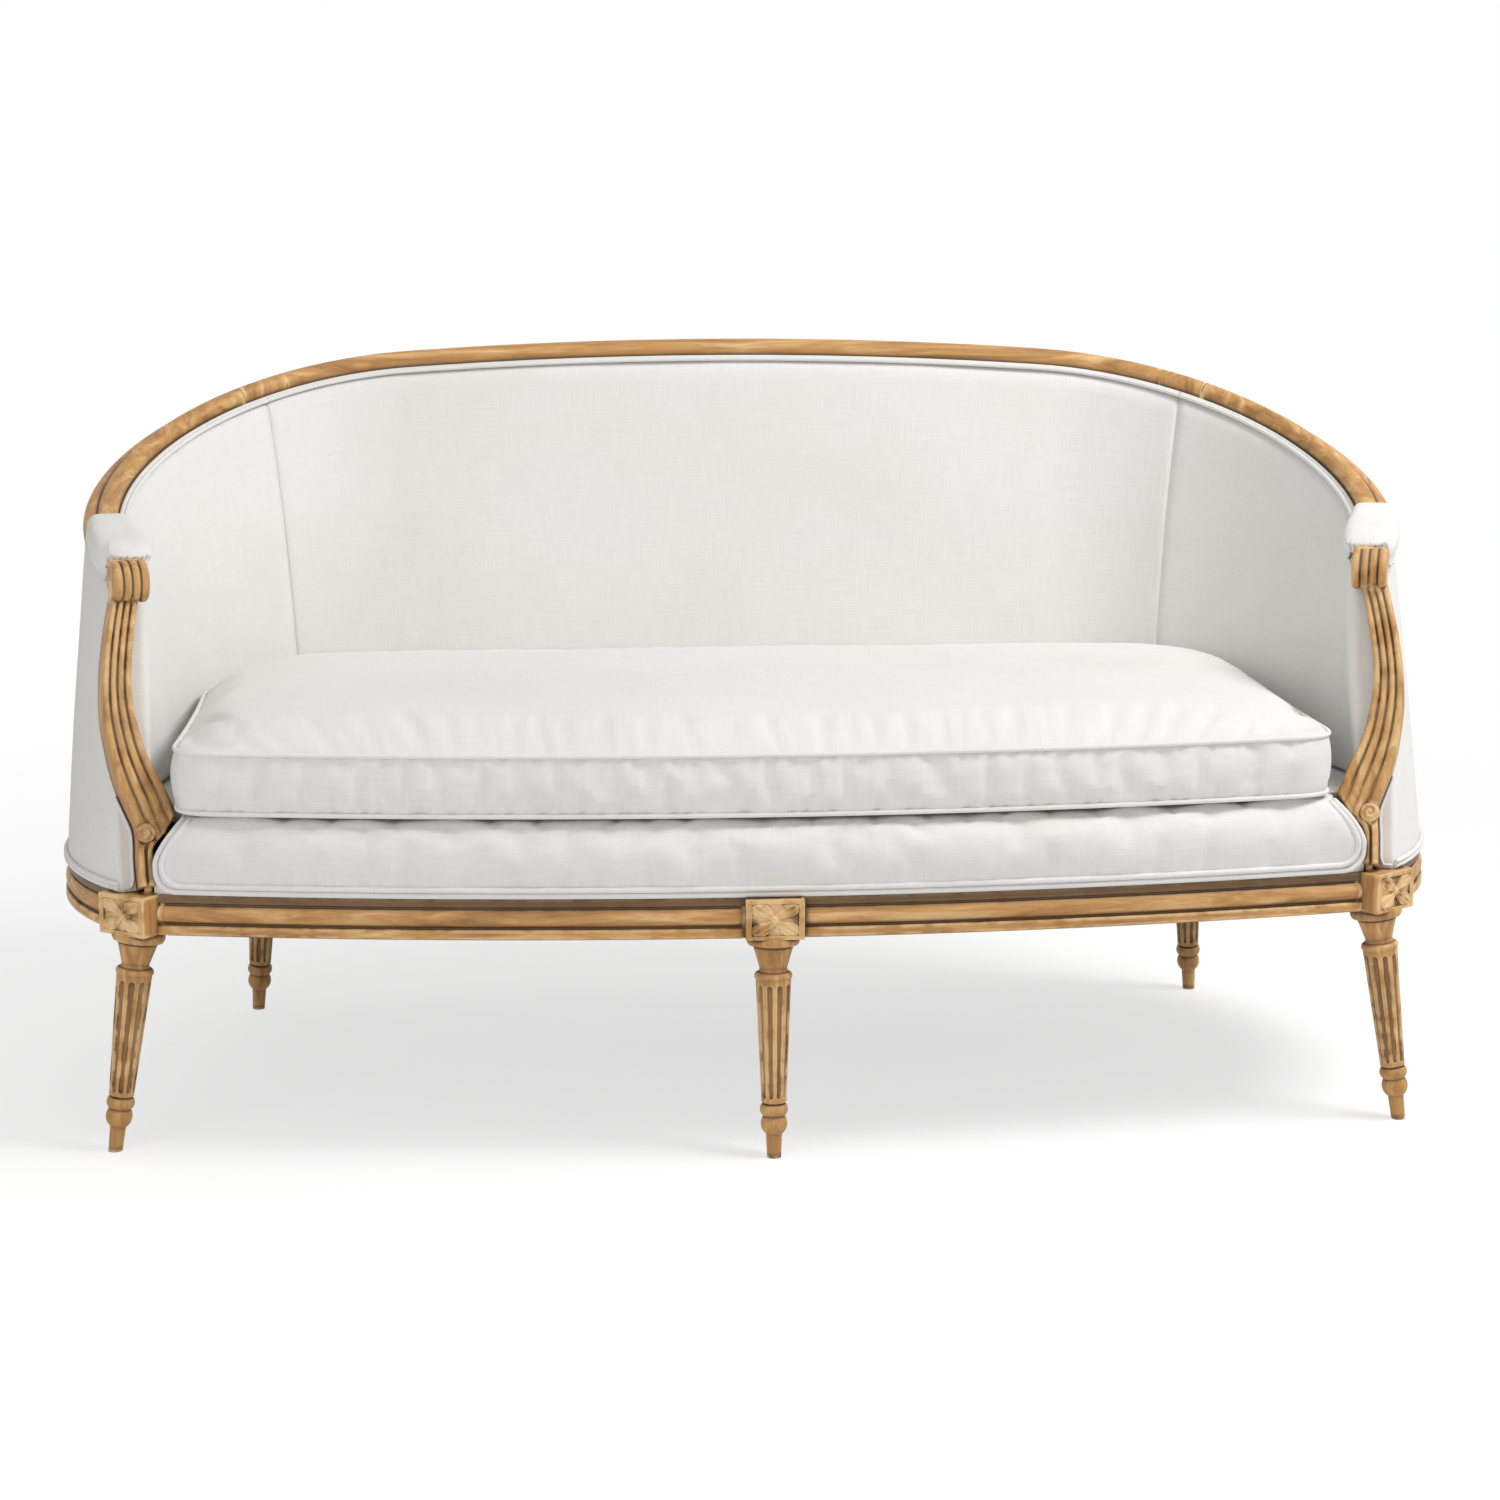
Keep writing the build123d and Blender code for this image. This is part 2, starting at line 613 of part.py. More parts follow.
# Angles at which the wall is divided.
ARM_JOINT = POST_ANGLE - HEAD_HALF_ANGLE
CREST_JOINT = POST_ANGLE + HEAD_HALF_ANGLE
ARM_STEPS = steps(ARM_END_SEAT, POST_ANGLE, 14)


def joint_plane(angle):
    """Plane at a joint of the top rail, its origin in the middle of the section."""
    x, y = wall_xy(angle, 1, 0.62 * TOP_RAIL_WIDTH)
    section = wall_plane(angle)
    centre = section.from_local_coords(Vector(x, y + 0.48 * TOP_RAIL_HEIGHT, 0))
    return Plane(origin=centre, x_dir=section.x_dir, z_dir=section.z_dir)


SUPPORT_PLANE = wall_plane(ARM_END_SEAT)
SUPPORT_CLIMB = wall_climb(ARM_END_SEAT)


def support_xy(share, offset):
    """Point of the arm support's outline: offset outward from its middle line."""
    x, y = wall_xy(ARM_END_SEAT, share, 33 - 11 * share)
    return (x + offset, y)


ARM_DOWEL = joint_plane(ARM_END_SEAT)
DOWEL_PLANES = [joint_plane(ARM_JOINT), joint_plane(CREST_JOINT), ARM_DOWEL]
FOOT_DOWEL = SUPPORT_PLANE.from_local_coords(Vector(*support_xy(0, 0), SUPPORT_DEPTH / 2))
FOOT_DOWEL = Vector(FOOT_DOWEL.X, FOOT_DOWEL.Y, RAIL_TOP)
FOOT_DOWEL_LENGTH = 2 * TENON_INSET - 2


def dowel_bars(radius, mode=Mode.ADD):
    """Bars of the dowels of the right-hand side."""
    with Locations(*DOWEL_PLANES):
        Cylinder(radius, DOWEL_LENGTH, mode=mode)
    with Locations(FOOT_DOWEL):
        Cylinder(radius, FOOT_DOWEL_LENGTH, mode=mode)


# Corner front legs, with a hole for the dowel of the arm support.
with BuildPart() as front_leg:
    with Locations(CORNER_AXES):
        add(rosette_block.part)
    with Locations(leaned(CORNER_PLACE, CORNER_OUT, compass(-12), CORNER_SPLAY)):
        add(turned_leg.part)
    split(bisect_by=Plane.XY, keep=Keep.TOP)
    turn_tenon(*FRONT_TENON, grow=JOINT_CLEARANCE, mode=Mode.SUBTRACT)
    turn_tenon(*SIDE_TENON, grow=JOINT_CLEARANCE, mode=Mode.SUBTRACT)
    dowel_bars(DOWEL_RADIUS + JOINT_CLEARANCE, Mode.SUBTRACT)
save_pair(front_leg, "front_leg")

# Post above a back leg, cut level where it stands on the block.
with BuildPart() as back_post:
    post_top = 1 + 10 / wall_climb(POST_ANGLE)
    with BuildSketch(wall_plane(POST_ANGLE)):
        with BuildLine():
            slab_outline(POST_ANGLE, -0.02, post_top, POST_DEPTH, POST_DEPTH + POST_THICK)
        make_face()
    extrude(amount=POST_WIDTH / 2, both=True)
    split(bisect_by=Plane.XY.offset(RAIL_TOP), keep=Keep.TOP)

# Back legs: block, turned leg, post and the piece of top rail that is the post's head.
with BuildPart() as back_leg:
    with Locations(BACK_AXES):
        add(back_block.part)
    with Locations(leaned(BACK_PLACE, POST_OUT, POST_OUT, BACK_SPLAY)):
        add(turned_leg.part)
    split(bisect_by=Plane.XY, keep=Keep.TOP)
    add(back_post.part)
    wall_loft([ARM_JOINT, POST_ANGLE, CREST_JOINT], top_rail_outline)
    turn_tenon(*SIDE_TENON, grow=JOINT_CLEARANCE, mode=Mode.SUBTRACT)
    turn_tenon(*BACK_TENON, grow=JOINT_CLEARANCE, mode=Mode.SUBTRACT)
    dowel_bars(DOWEL_RADIUS + JOINT_CLEARANCE, Mode.SUBTRACT)
save_pair(back_leg, "back_leg")

# Top rail.
with BuildPart() as crest_rail:
    back_loft(CREST_JOINT, top_rail_outline)
    with Locations(joint_plane(CREST_JOINT), joint_plane(180 - CREST_JOINT)):
        Cylinder(DOWEL_RADIUS + JOINT_CLEARANCE, DOWEL_LENGTH, mode=Mode.SUBTRACT)
save(crest_rail, "crest_rail")

with BuildPart() as arm_rail:
    wall_loft(steps(ARM_END_SEAT, ARM_JOINT, 13), top_rail_outline)
    dowel_bars(DOWEL_RADIUS + JOINT_CLEARANCE, Mode.SUBTRACT)
save_pair(arm_rail, "arm_rail")

# Arm support: sawn to its curve, with a rolled head, a volute and a tenon in the leg block.
with BuildPart() as arm_support:
    with BuildSketch(SUPPORT_PLANE):
        with BuildLine():
            Line(support_xy(-0.1, -6), support_xy(-0.1, 14))
            Line(support_xy(-0.1, 14), support_xy(0.19, 11))
            ThreePointArc(support_xy(0.19, 11), support_xy(0.55, 43), support_xy(0.95, 19))
            Line(support_xy(0.95, 19), support_xy(1.02, 16))
            Line(support_xy(1.02, 16), support_xy(1.02, -18))
            Line(support_xy(1.02, -18), support_xy(0.95, -15))
            ThreePointArc(support_xy(0.95, -15), support_xy(0.74, 1), support_xy(0.56, 3))
            ThreePointArc(support_xy(0.56, 3), support_xy(0.38, -14), support_xy(0.225, -38))
            Line(support_xy(0.225, -38), support_xy(0.12, -7))
            Line(support_xy(0.12, -7), support_xy(-0.1, -6))
        make_face()
    extrude(amount=SUPPORT_DEPTH)
    with BuildSketch(SUPPORT_PLANE.offset(SUPPORT_DEPTH - 8)):
        with Locations(support_xy(0.165, 2)):
            Circle(VOLUTE_RADIUS)
    extrude(amount=11)
    roll = SUPPORT_PLANE.from_local_coords(
        Vector(*support_xy(1, 0), SCROLL_RADIUS + JOINT_CLEARANCE) - Vector(0, SCROLL_DROP)
    )
    with Locations(Plane(origin=roll, x_dir=SUPPORT_PLANE.z_dir, z_dir=SUPPORT_PLANE.x_dir)):
        Cylinder(SCROLL_RADIUS, TOP_RAIL_WIDTH)
    split(bisect_by=Plane.XY.offset(RAIL_TOP), keep=Keep.TOP)
    dowel_bars(DOWEL_RADIUS + JOINT_CLEARANCE, Mode.SUBTRACT)
save_pair(arm_support, "arm_support")

with BuildPart() as frame_dowels:
    dowel_bars(DOWEL_RADIUS)
    mirror(about=Plane.YZ)
save(frame_dowels, "frame_dowels")

# Rails inside the wall that hold the lower edge of the upholstery.
with BuildPart() as side_lower_rail:
    wall_loft(steps(ARM_END_SEAT, POST_ANGLE - 1, 8), lower_rail_outline)
    add(back_leg.part, mode=Mode.SUBTRACT)
save_pair(side_lower_rail, "side_lower_rail")

with BuildPart() as back_lower_rail:
    back_loft(POST_ANGLE + 1, lower_rail_outline)
    add(back_leg.part, mode=Mode.SUBTRACT)
    add(mirror(back_leg.part, about=Plane.YZ, mode=Mode.PRIVATE), mode=Mode.SUBTRACT)
save(back_lower_rail, "back_lower_rail")

# Outside and inside of the wall.
RETURN_THICK = 4.0
RETURN_CLEARANCE = 2.5
RETURN_INNER = PAD_DEPTH - RETURN_CLEARANCE
RETURN_GAP = RETURN_CLEARANCE / wall_climb(ARM_END_SEAT)
with BuildPart() as outside_arm:
    wall_loft(ARM_STEPS, panel_outline)
    # Return of the cover round the front of the wall, open where the lower rail passes.
    with BuildSketch(SUPPORT_PLANE.offset(-SEAT_GAP)):
        for low, high in (
            (RETURN_GAP, wall_share(ARM_END_SEAT, LOWER_RAIL_BASE) - RETURN_GAP),
            (wall_share(ARM_END_SEAT, LOWER_RAIL_TOP) + RETURN_GAP, 1 - RETURN_GAP),
        ):
            with BuildLine():
                slab_outline(ARM_END_SEAT, low, high, PANEL_DEPTH + 1, RETURN_INNER)
            make_face()
    extrude(amount=-RETURN_THICK)
save_pair(outside_arm, "outside_arm")

with BuildPart() as outside_back:
    back_loft(POST_ANGLE, panel_outline)
save(outside_back, "outside_back")

with BuildPart() as inside_arm:
    wall_loft(ARM_STEPS, pad_outline)
save_pair(inside_arm, "inside_arm")

with BuildPart() as inside_back:
    back_loft(POST_ANGLE, pad_outline)
save(inside_back, "inside_back")

with BuildPart() as arm_welt:
    wall_loft(ARM_STEPS, inner_welt_outline)
save_pair(arm_welt, "inner_arm_welt")

with BuildPart() as back_welt:
    back_loft(POST_ANGLE, inner_welt_outline)
save(back_welt, "inner_back_welt")

with BuildPart() as arm_pad:
    wall_loft(steps(ARM_END_SEAT, ARM_PAD_ANGLE, 6), arm_pad_outline)
save_pair(arm_pad, "arm_pad")


def plan_face(front_inset, ring_inset):
    """Flat sketch of the seat outline on the ground plane."""
    with BuildSketch() as plan:
        with BuildLine():
            seat_outline(front_inset, ring_inset)
        make_face()
    return plan.sketch


# Seat deck: a padded tray turned over, its front edge rolled, resting on the seat rails.
CAVITY_INSET = RAIL_DEPTH + DECK_WALL
with BuildPart() as seat_deck:
    with BuildSketch(Plane.XY.offset(DECK_BASE)):
        add(plan_face(DECK_FRONT_INSET, DECK_RING_INSET))
    extrude(amount=DECK_TOP - DECK_BASE)
    front_edge = seat_deck.faces().sort_by(Axis.Z)[-1].edges().sort_by(Axis.Y)[0]
    fillet(front_edge, DECK_ROLL)
    with BuildSketch(Plane.XY.offset(DECK_BASE)):
        add(plan_face(CAVITY_INSET, CAVITY_INSET))
    extrude(amount=CAVITY_TOP - DECK_BASE, mode=Mode.SUBTRACT)
    # Room for the arm supports, cut to their flare, and for the back posts.
    with BuildSketch(SUPPORT_PLANE) as support_room:
        with BuildLine():
            Polyline(
                support_xy(-0.1, -9), support_xy(0.1, -10), support_xy(0.205, -41),
                support_xy(0.45, -41), support_xy(0.45, 120), support_xy(-0.1, 120), close=True,
            )
        make_face()
    extrude(amount=120, mode=Mode.SUBTRACT)
    with BuildSketch(SUPPORT_PLANE):
        add(support_room.sketch_local)
    extrude(amount=-45, mode=Mode.SUBTRACT)
    with BuildSketch(wall_plane(POST_ANGLE)):
        with BuildLine():
            slab_outline(POST_ANGLE, -0.05, 0.3, 0, POST_DEPTH + POST_THICK + 2)
        make_face()
    extrude(amount=POST_WIDTH / 2 + 2, both=True, mode=Mode.SUBTRACT)
    mirror(seat_deck.part, about=Plane.YZ, mode=Mode.INTERSECT)
save(seat_deck, "seat_deck")

# Double welt along the foot of the deck front.
DECK_FRONT_STOP = math.degrees(math.asin((CORNER.X - DECK_WELT_STOP) / FRONT_RADIUS))
with BuildPart() as deck_welt:
    radius = FRONT_RADIUS - DECK_FRONT_INSET + SEAT_GAP
    with BuildSketch(ring_plane(FRONT_AXIS, -90 - DECK_FRONT_STOP)):
        with Locations((radius + 0.7 * WELT_RADIUS, DECK_BASE + 1.4 * WELT_RADIUS)):
            RectangleRounded(1.4 * WELT_RADIUS, 2.8 * WELT_RADIUS, 0.6 * WELT_RADIUS)
    revolve(axis=Axis(FRONT_AXIS, (0, 0, 1)), revolution_arc=2 * DECK_FRONT_STOP)
save(deck_welt, "deck_welt")


def outer_welt_section(radius):
    """Section of the double welt along the foot of an outside panel."""
    Polyline(
        (radius - 2.2, DECK_BASE), (radius + 0.8, DECK_BASE),
        (radius + 0.8, DECK_BASE + 2.6 * WELT_RADIUS), (radius - 2.2, DECK_BASE + 2.6 * WELT_RADIUS),
        close=True,
    )


with BuildPart() as outer_arm_welt:
    with BuildSketch(ring_plane(SEAT_CENTRE, ARM_END_SEAT + 1)):
        with BuildLine():
            outer_welt_section(END_RADIUS)
        make_face()
    revolve(axis=Axis(SEAT_CENTRE, (0, 0, 1)), revolution_arc=POST_ANGLE - ARM_END_SEAT - 1)
save_pair(outer_arm_welt, "outer_arm_welt")

with BuildPart() as outer_back_welt:
    with BuildSketch(ring_plane(SEAT_CENTRE, POST_ANGLE)):
        with BuildLine():
            outer_welt_section(END_RADIUS)
        make_face()
    revolve(axis=Axis(SEAT_CENTRE, (0, 0, 1)), revolution_arc=BACK_TURN - POST_ANGLE)
    with BuildSketch(ring_plane(BACK_AXIS, BACK_TURN)):
        with BuildLine():
            outer_welt_section(back_radius(SEAT_RING))
        make_face()
    revolve(axis=Axis(BACK_AXIS, (0, 0, 1)), revolution_arc=90 - BACK_TURN)
    mirror(about=Plane.YZ)
save(outer_back_welt, "outer_back_welt")


def pad_foot(angle, inset):
    """Plan point of the padded inner face just above the deck, moved in by the inset."""
    x, y = wall_xy(angle, wall_share(angle, PAD_BASE), pad_depth(angle) + inset)
    point = wall_plane(angle).from_local_coords(Vector(x, y, 0))
    return Vector(point.X, point.Y, 0)


def mirrored(point):
    """The same plan point on the left."""
    return Vector(-point.X, point.Y, 0)


CUSHION_SIDE = (30.0, 52.0)


def cushion_face(height, inset):
    """Level section of the cushion: bowed front, drawn-in sides and round back corners."""
    edge = CUSHION_CLEARANCE + inset
    front = front_point(CUSHION_HALF_WIDTH - inset, CUSHION_FRONT_INSET + inset)
    side = pad_foot(CUSHION_SIDE[0], edge)
    shoulder = pad_foot(CUSHION_SIDE[1], edge)
    back = pad_foot(back_angle(SEAT_RING), edge)
    waist = (front + side) * 0.5 - Vector(CUSHION_WAIST, 0, 0)
    with BuildSketch(Plane.XY.offset(height)) as level:
        with BuildLine():
            ThreePointArc(mirrored(front), front_point(0, CUSHION_FRONT_INSET + inset), front)
            ThreePointArc(front, waist, side)
            ThreePointArc(side, shoulder, back)
            ThreePointArc(back, pad_foot(90, edge), mirrored(back))
            ThreePointArc(mirrored(back), mirrored(shoulder), mirrored(side))
            ThreePointArc(mirrored(side), mirrored(waist), mirrored(front))
        make_face()
        fillet(level.vertices().sort_by(Axis.Y)[:2], CUSHION_CORNER - inset / 4)
    return level.sketch


def cushion_crown(height, share):
    """Level section of the cushion drawn smaller about its middle, for the crowned faces."""
    middle = Vector(0, (front_point(0).Y + pad_foot(90, 0).Y) / 2, 0)
    flat = cushion_face(0, 0)
    small = scale(flat.moved(Location(middle * -1)), by=share, mode=Mode.PRIVATE)
    return small.moved(Location(middle + Vector(0, 0, height)))


CUSHION_BASE = DECK_TOP + SEAT_GAP
CUSHION_LOW = CUSHION_BASE + CUSHION_UNDERCUT
CUSHION_HIGH = CUSHION_LOW + CUSHION_BORDER
CUSHION_TOP = CUSHION_HIGH + CUSHION_CROWN

# Loose cushion: bulging border between its welts, crowned top.
with BuildPart() as seat_cushion:
    loft([cushion_crown(CUSHION_BASE, 0.96), cushion_crown(CUSHION_LOW, 1.0)], ruled=True)
    loft([
        cushion_crown(CUSHION_LOW, 1.0),
        cushion_crown((CUSHION_LOW + CUSHION_HIGH) / 2, 1.004),
        cushion_crown(CUSHION_HIGH, 1.0),
    ])
    loft([cushion_crown(CUSHION_HIGH, 1.0), cushion_crown(CUSHION_HIGH + 0.5 * CUSHION_CROWN, 0.9)])
    loft([
        cushion_crown(CUSHION_HIGH + 0.5 * CUSHION_CROWN, 0.9),
        cushion_crown(CUSHION_HIGH + 0.85 * CUSHION_CROWN, 0.65),
    ])
    loft([
        cushion_crown(CUSHION_HIGH + 0.85 * CUSHION_CROWN, 0.65),
        cushion_crown(CUSHION_TOP, 0.25),
    ])
save(seat_cushion, "seat_cushion")


def cushion_welt(height):
    """Welt round the cushion at one seam."""
    with BuildSketch(Plane.XY.offset(height - WELT_RADIUS)) as ring:
        add(cushion_face(0, -WELT_RADIUS - WELT_GAP))
        add(cushion_face(0, -WELT_GAP), mode=Mode.SUBTRACT)
    extrude(ring.sketch, amount=2 * WELT_RADIUS)


with BuildPart() as cushion_welt_lower:
    cushion_welt(CUSHION_LOW)
save(cushion_welt_lower, "cushion_welt_lower")

with BuildPart() as cushion_welt_upper:
    cushion_welt(CUSHION_HIGH)
save(cushion_welt_upper, "cushion_welt_upper")

# Seat stretcher from the centre leg to the back rail.
STRETCHER_WIDTH = 50.0
with BuildPart() as seat_stretcher:
    start = CENTRE_PLACE.Y + BLOCK_DEPTH / 2
    end = ring_point(SEAT_RING, 90).Y - RAIL_DEPTH / 2
    with Locations((0, (start + end) / 2, LEG_HEIGHT + 0.45 * RAIL_HEIGHT)):
        Box(STRETCHER_WIDTH, end - start, 0.6 * RAIL_HEIGHT)
    add(back_rail.part, mode=Mode.SUBTRACT)
save(seat_stretcher, "seat_stretcher")

# Corner blocks glued into the four corners of the seat frame.
CORNER_BLOCK = 90.0
with BuildPart() as corner_blocks:
    for place, outward, depth in (
        (CORNER_PLACE, CORNER_OUT, BLOCK_DEPTH), (BACK_PLACE, POST_OUT, BACK_BLOCK),
    ):
        side = UP.cross(outward)
        tip = Vector(place.X, place.Y, 0) - outward * (depth / 2 + 4)
        with BuildSketch(Plane.XY.offset(LEG_HEIGHT + 10)):
            with BuildLine():
                Polyline(
                    tip + side * CORNER_BLOCK * 0.75 + outward * 6,
                    tip - side * CORNER_BLOCK * 0.75 + outward * 6,
                    tip - side * CORNER_BLOCK * 0.35 - outward * 26,
                    tip + side * CORNER_BLOCK * 0.35 - outward * 26, close=True,
                )
            make_face()
        extrude(amount=RAIL_HEIGHT - 20)
    for piece in (front_rail, side_rail, back_rail):
        add(piece.part, mode=Mode.SUBTRACT)
    with Locations(CORNER_AXES):
        add(front_block.part, mode=Mode.SUBTRACT)
    with Locations(BACK_AXES):
        add(back_block.part, mode=Mode.SUBTRACT)
    mirror(about=Plane.YZ)
save(corner_blocks, "corner_blocks")

# Webbing under the seat rails, springs on it, burlap over them.
WEB_COLUMNS = [share * HALF_WIDTH for share in (0.095, 0.228, 0.361, 0.494, 0.628)]
SPRING_COLUMNS = WEB_COLUMNS[::2]
SEAT_MIDDLE = -60.0
WEB_ROWS = [SEAT_MIDDLE + WEB_SPACING * step for step in (-2, -1, 0, 1, 2)]
SPRING_ROWS = WEB_ROWS[::2]
WEB_TOP = LEG_HEIGHT - SEAT_GAP
with BuildPart() as seat_webbing:
    with BuildSketch(Plane.XY.offset(WEB_TOP - WEB_THICK)):
        with Locations(*[(0, row) for row in WEB_ROWS]):
            Rectangle(2.2 * HALF_WIDTH, WEB_WIDTH)
        add(plan_face(WEB_INSET, WEB_INSET), mode=Mode.INTERSECT)
    extrude(amount=WEB_THICK)
    with BuildSketch(Plane.XY.offset(WEB_TOP - 2 * WEB_THICK)):
        with Locations(*[(sign * column, 0) for column in WEB_COLUMNS for sign in (-1, 1)]):
            Rectangle(WEB_WIDTH, 2.2 * HALF_WIDTH)
        add(plan_face(WEB_INSET, WEB_INSET), mode=Mode.INTERSECT)
    extrude(amount=WEB_THICK)
save(seat_webbing, "seat_webbing")

SPRING_GAP = 0.8
SPRING_LOW = WEB_TOP + SPRING_GAP + SPRING_WIRE
BURLAP_TOP = CAVITY_TOP - SEAT_GAP
BURLAP_GAP = 1.0
SPRING_HIGH = BURLAP_TOP - BURLAP_THICK - SPRING_GAP - SPRING_WIRE
with BuildPart() as seat_spring:
    with BuildLine() as coil:
        Helix((SPRING_HIGH - SPRING_LOW) / SPRING_TURNS, SPRING_HIGH - SPRING_LOW, SPRING_RADIUS)
    with BuildSketch(Plane(origin=coil.line @ 0, z_dir=coil.line % 0)):
        Circle(SPRING_WIRE)
    sweep()

with BuildPart() as seat_springs:
    spots = [(sign * column, row, SPRING_LOW)
             for column in SPRING_COLUMNS for row in SPRING_ROWS for sign in (-1, 1)]
    with Locations(*spots):
        add(seat_spring.part)
save(seat_springs, "seat_springs")

with BuildPart() as spring_burlap:
    with BuildSketch(Plane.XY.offset(BURLAP_TOP - BURLAP_THICK)):
        add(plan_face(CAVITY_INSET + BURLAP_GAP, CAVITY_INSET + BURLAP_GAP))
    extrude(amount=BURLAP_THICK)
save(spring_burlap, "spring_burlap")

# Webbing behind the inside back.
BACK_WEB_GAP = 3.0
BACK_WEB_ANGLES = [90 - (90 - BACK_TURN) * share for share in (-0.9, -0.6, -0.3, 0, 0.3, 0.6, 0.9)]
with BuildPart() as back_webbing:
    for angle in BACK_WEB_ANGLES:
        low = wall_share(angle, PAD_BASE + 6)
        high = 1 - BACK_WEB_GAP / wall_climb(angle)
        inner = PAD_DEPTH - 2.5 * SEAT_GAP
        with BuildSketch(wall_plane(angle)):
            with BuildLine():
                slab_outline(angle, low, high, inner - WEB_THICK, inner)
            make_face()
        extrude(amount=WEB_WIDTH / 2, both=True)
save(back_webbing, "back_webbing")

# Dust cover under the webbing, cut round the legs.
COVER_INSET = 18.0
COVER_GAP = 4.0
COVER_TOP = WEB_TOP - 2 * WEB_THICK - SEAT_GAP
with BuildPart() as dust_cover:
    with BuildSketch(Plane.XY.offset(COVER_TOP - COVER_THICK)):
        add(plan_face(COVER_INSET, COVER_INSET))
        with Locations(
            (CENTRE_PLACE.X, CENTRE_PLACE.Y), (CORNER_PLACE.X, CORNER_PLACE.Y),
            (-CORNER_PLACE.X, CORNER_PLACE.Y), (BACK_PLACE.X, BACK_PLACE.Y),
            (-BACK_PLACE.X, BACK_PLACE.Y),
        ):
            Circle(ABACUS_RADIUS + COVER_GAP, mode=Mode.SUBTRACT)
    extrude(amount=COVER_THICK)
save(dust_cover, "dust_cover")
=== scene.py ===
import math

import bmesh
import bpy
from bpy.props import FloatProperty, FloatVectorProperty, IntProperty, PointerProperty
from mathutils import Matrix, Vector, noise


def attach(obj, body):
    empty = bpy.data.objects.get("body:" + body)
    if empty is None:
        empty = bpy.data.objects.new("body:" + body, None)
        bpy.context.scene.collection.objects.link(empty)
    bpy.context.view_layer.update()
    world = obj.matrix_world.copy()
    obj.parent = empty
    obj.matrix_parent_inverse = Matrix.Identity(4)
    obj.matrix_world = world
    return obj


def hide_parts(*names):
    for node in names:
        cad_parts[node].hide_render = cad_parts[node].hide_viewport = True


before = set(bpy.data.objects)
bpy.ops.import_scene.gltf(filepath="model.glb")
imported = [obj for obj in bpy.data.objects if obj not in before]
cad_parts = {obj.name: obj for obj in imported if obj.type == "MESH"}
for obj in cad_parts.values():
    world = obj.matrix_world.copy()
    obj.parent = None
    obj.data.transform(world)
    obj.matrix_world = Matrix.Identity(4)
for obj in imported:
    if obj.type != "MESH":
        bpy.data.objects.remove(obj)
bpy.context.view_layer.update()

bl_info = {
    "name": "Carved sofa dressing",
    "version": (1, 0, 0),
    "blender": (4, 5, 0),
    "location": "3D View > Sidebar > Sofa",
    "description": "Dresses the packed sofa frame with carving, upholstery, finishes and a studio stage",
    "category": "Object",
}

# Sizes shared with the part's source, in metres.
HALF_WIDTH = 0.900
END_RADIUS = 0.425
END_Y = -0.063
BACK_RISE = 0.010
FRONT_FACE = -0.428
FRONT_BOW = 0.078
FRONT_HALF_CHORD = 0.770
TOP_HALF_WIDTH = 0.870
TOP_RADIUS = 0.422
TOP_Y = 0.012
TOP_RISE = 0.006
LEG_HEIGHT = 0.280
RAIL_HEIGHT = 0.050
SOFA_HEIGHT = 0.965
TOP_SLOPE = 0.33
TOP_ARCH_RADIUS = 8.0
DECK_HEIGHT = 0.092
CUSHION_BORDER = 0.074
TOP_RAIL_WIDTH = 0.044
TOP_RAIL_HEIGHT = 0.030
BLOCK_WIDTH = 0.072
BLOCK_DEPTH = 0.062
BLOCK_PROUD = 0.012
CORNER_FACE_ANGLE = -54.0
POST_ANGLE = 60.5
POST_TOP_ANGLE = 56.6
POST_FACE = 58.0
SUPPORT_DEPTH = 0.032
SCROLL_RADIUS = 0.027
SCROLL_DROP = 0.013
SEAT_GAP = 0.0003
PANEL_DEPTH = 0.004
PANEL_THICK = 0.003
PAD_DEPTH = 0.041
PAD_BACK = 0.080
PAD_ARM = 0.138
PAD_FRONT = 0.056
PAD_TOP = 0.056
PAD_BULGE = 0.009
ARM_SETBACK = 0.012
ARM_END_TOP = -27.5
ARM_END_FACE = -20.0
ARM_PAD_ANGLE = -20.0
DECK_FRONT_INSET = 0.006
DECK_RING_INSET = 0.030
DECK_TOP_THICK = 0.027
DECK_ROLL = 0.024
CUSHION_HALF_WIDTH = 0.722
CUSHION_FRONT_INSET = 0.014
CUSHION_CLEARANCE = 0.014

# Worked out from the sizes above.
UP = Vector((0, 0, 1))
RAIL_TOP = LEG_HEIGHT + RAIL_HEIGHT
SEAT_RING = (HALF_WIDTH - END_RADIUS, END_Y, END_RADIUS, BACK_RISE)
TOP_RING = (TOP_HALF_WIDTH - TOP_RADIUS, TOP_Y, TOP_RADIUS, TOP_RISE)
TOP_BACK = TOP_Y + TOP_RADIUS + TOP_RISE
FRONT_RADIUS = (FRONT_HALF_CHORD ** 2 + FRONT_BOW ** 2) / (2 * FRONT_BOW)
FRONT_CENTRE = FRONT_FACE + FRONT_RADIUS
DECK_BASE = RAIL_TOP + SEAT_GAP
DECK_TOP = RAIL_TOP + DECK_HEIGHT
PAD_BASE = DECK_TOP + SEAT_GAP
CUSHION_BASE = DECK_TOP + SEAT_GAP
CUSHION_LOW = CUSHION_BASE + 0.009
CUSHION_HIGH = CUSHION_LOW + CUSHION_BORDER


def length_setting(name, description, default):
    """Setting in metres."""
    return FloatProperty(name=name, description=description, default=default, unit="LENGTH")


def colour_setting(name, description, default):
    """Setting that is a colour."""
    return FloatVectorProperty(
        name=name, description=description, default=default, subtype="COLOR", size=4, min=0, max=1,
    )


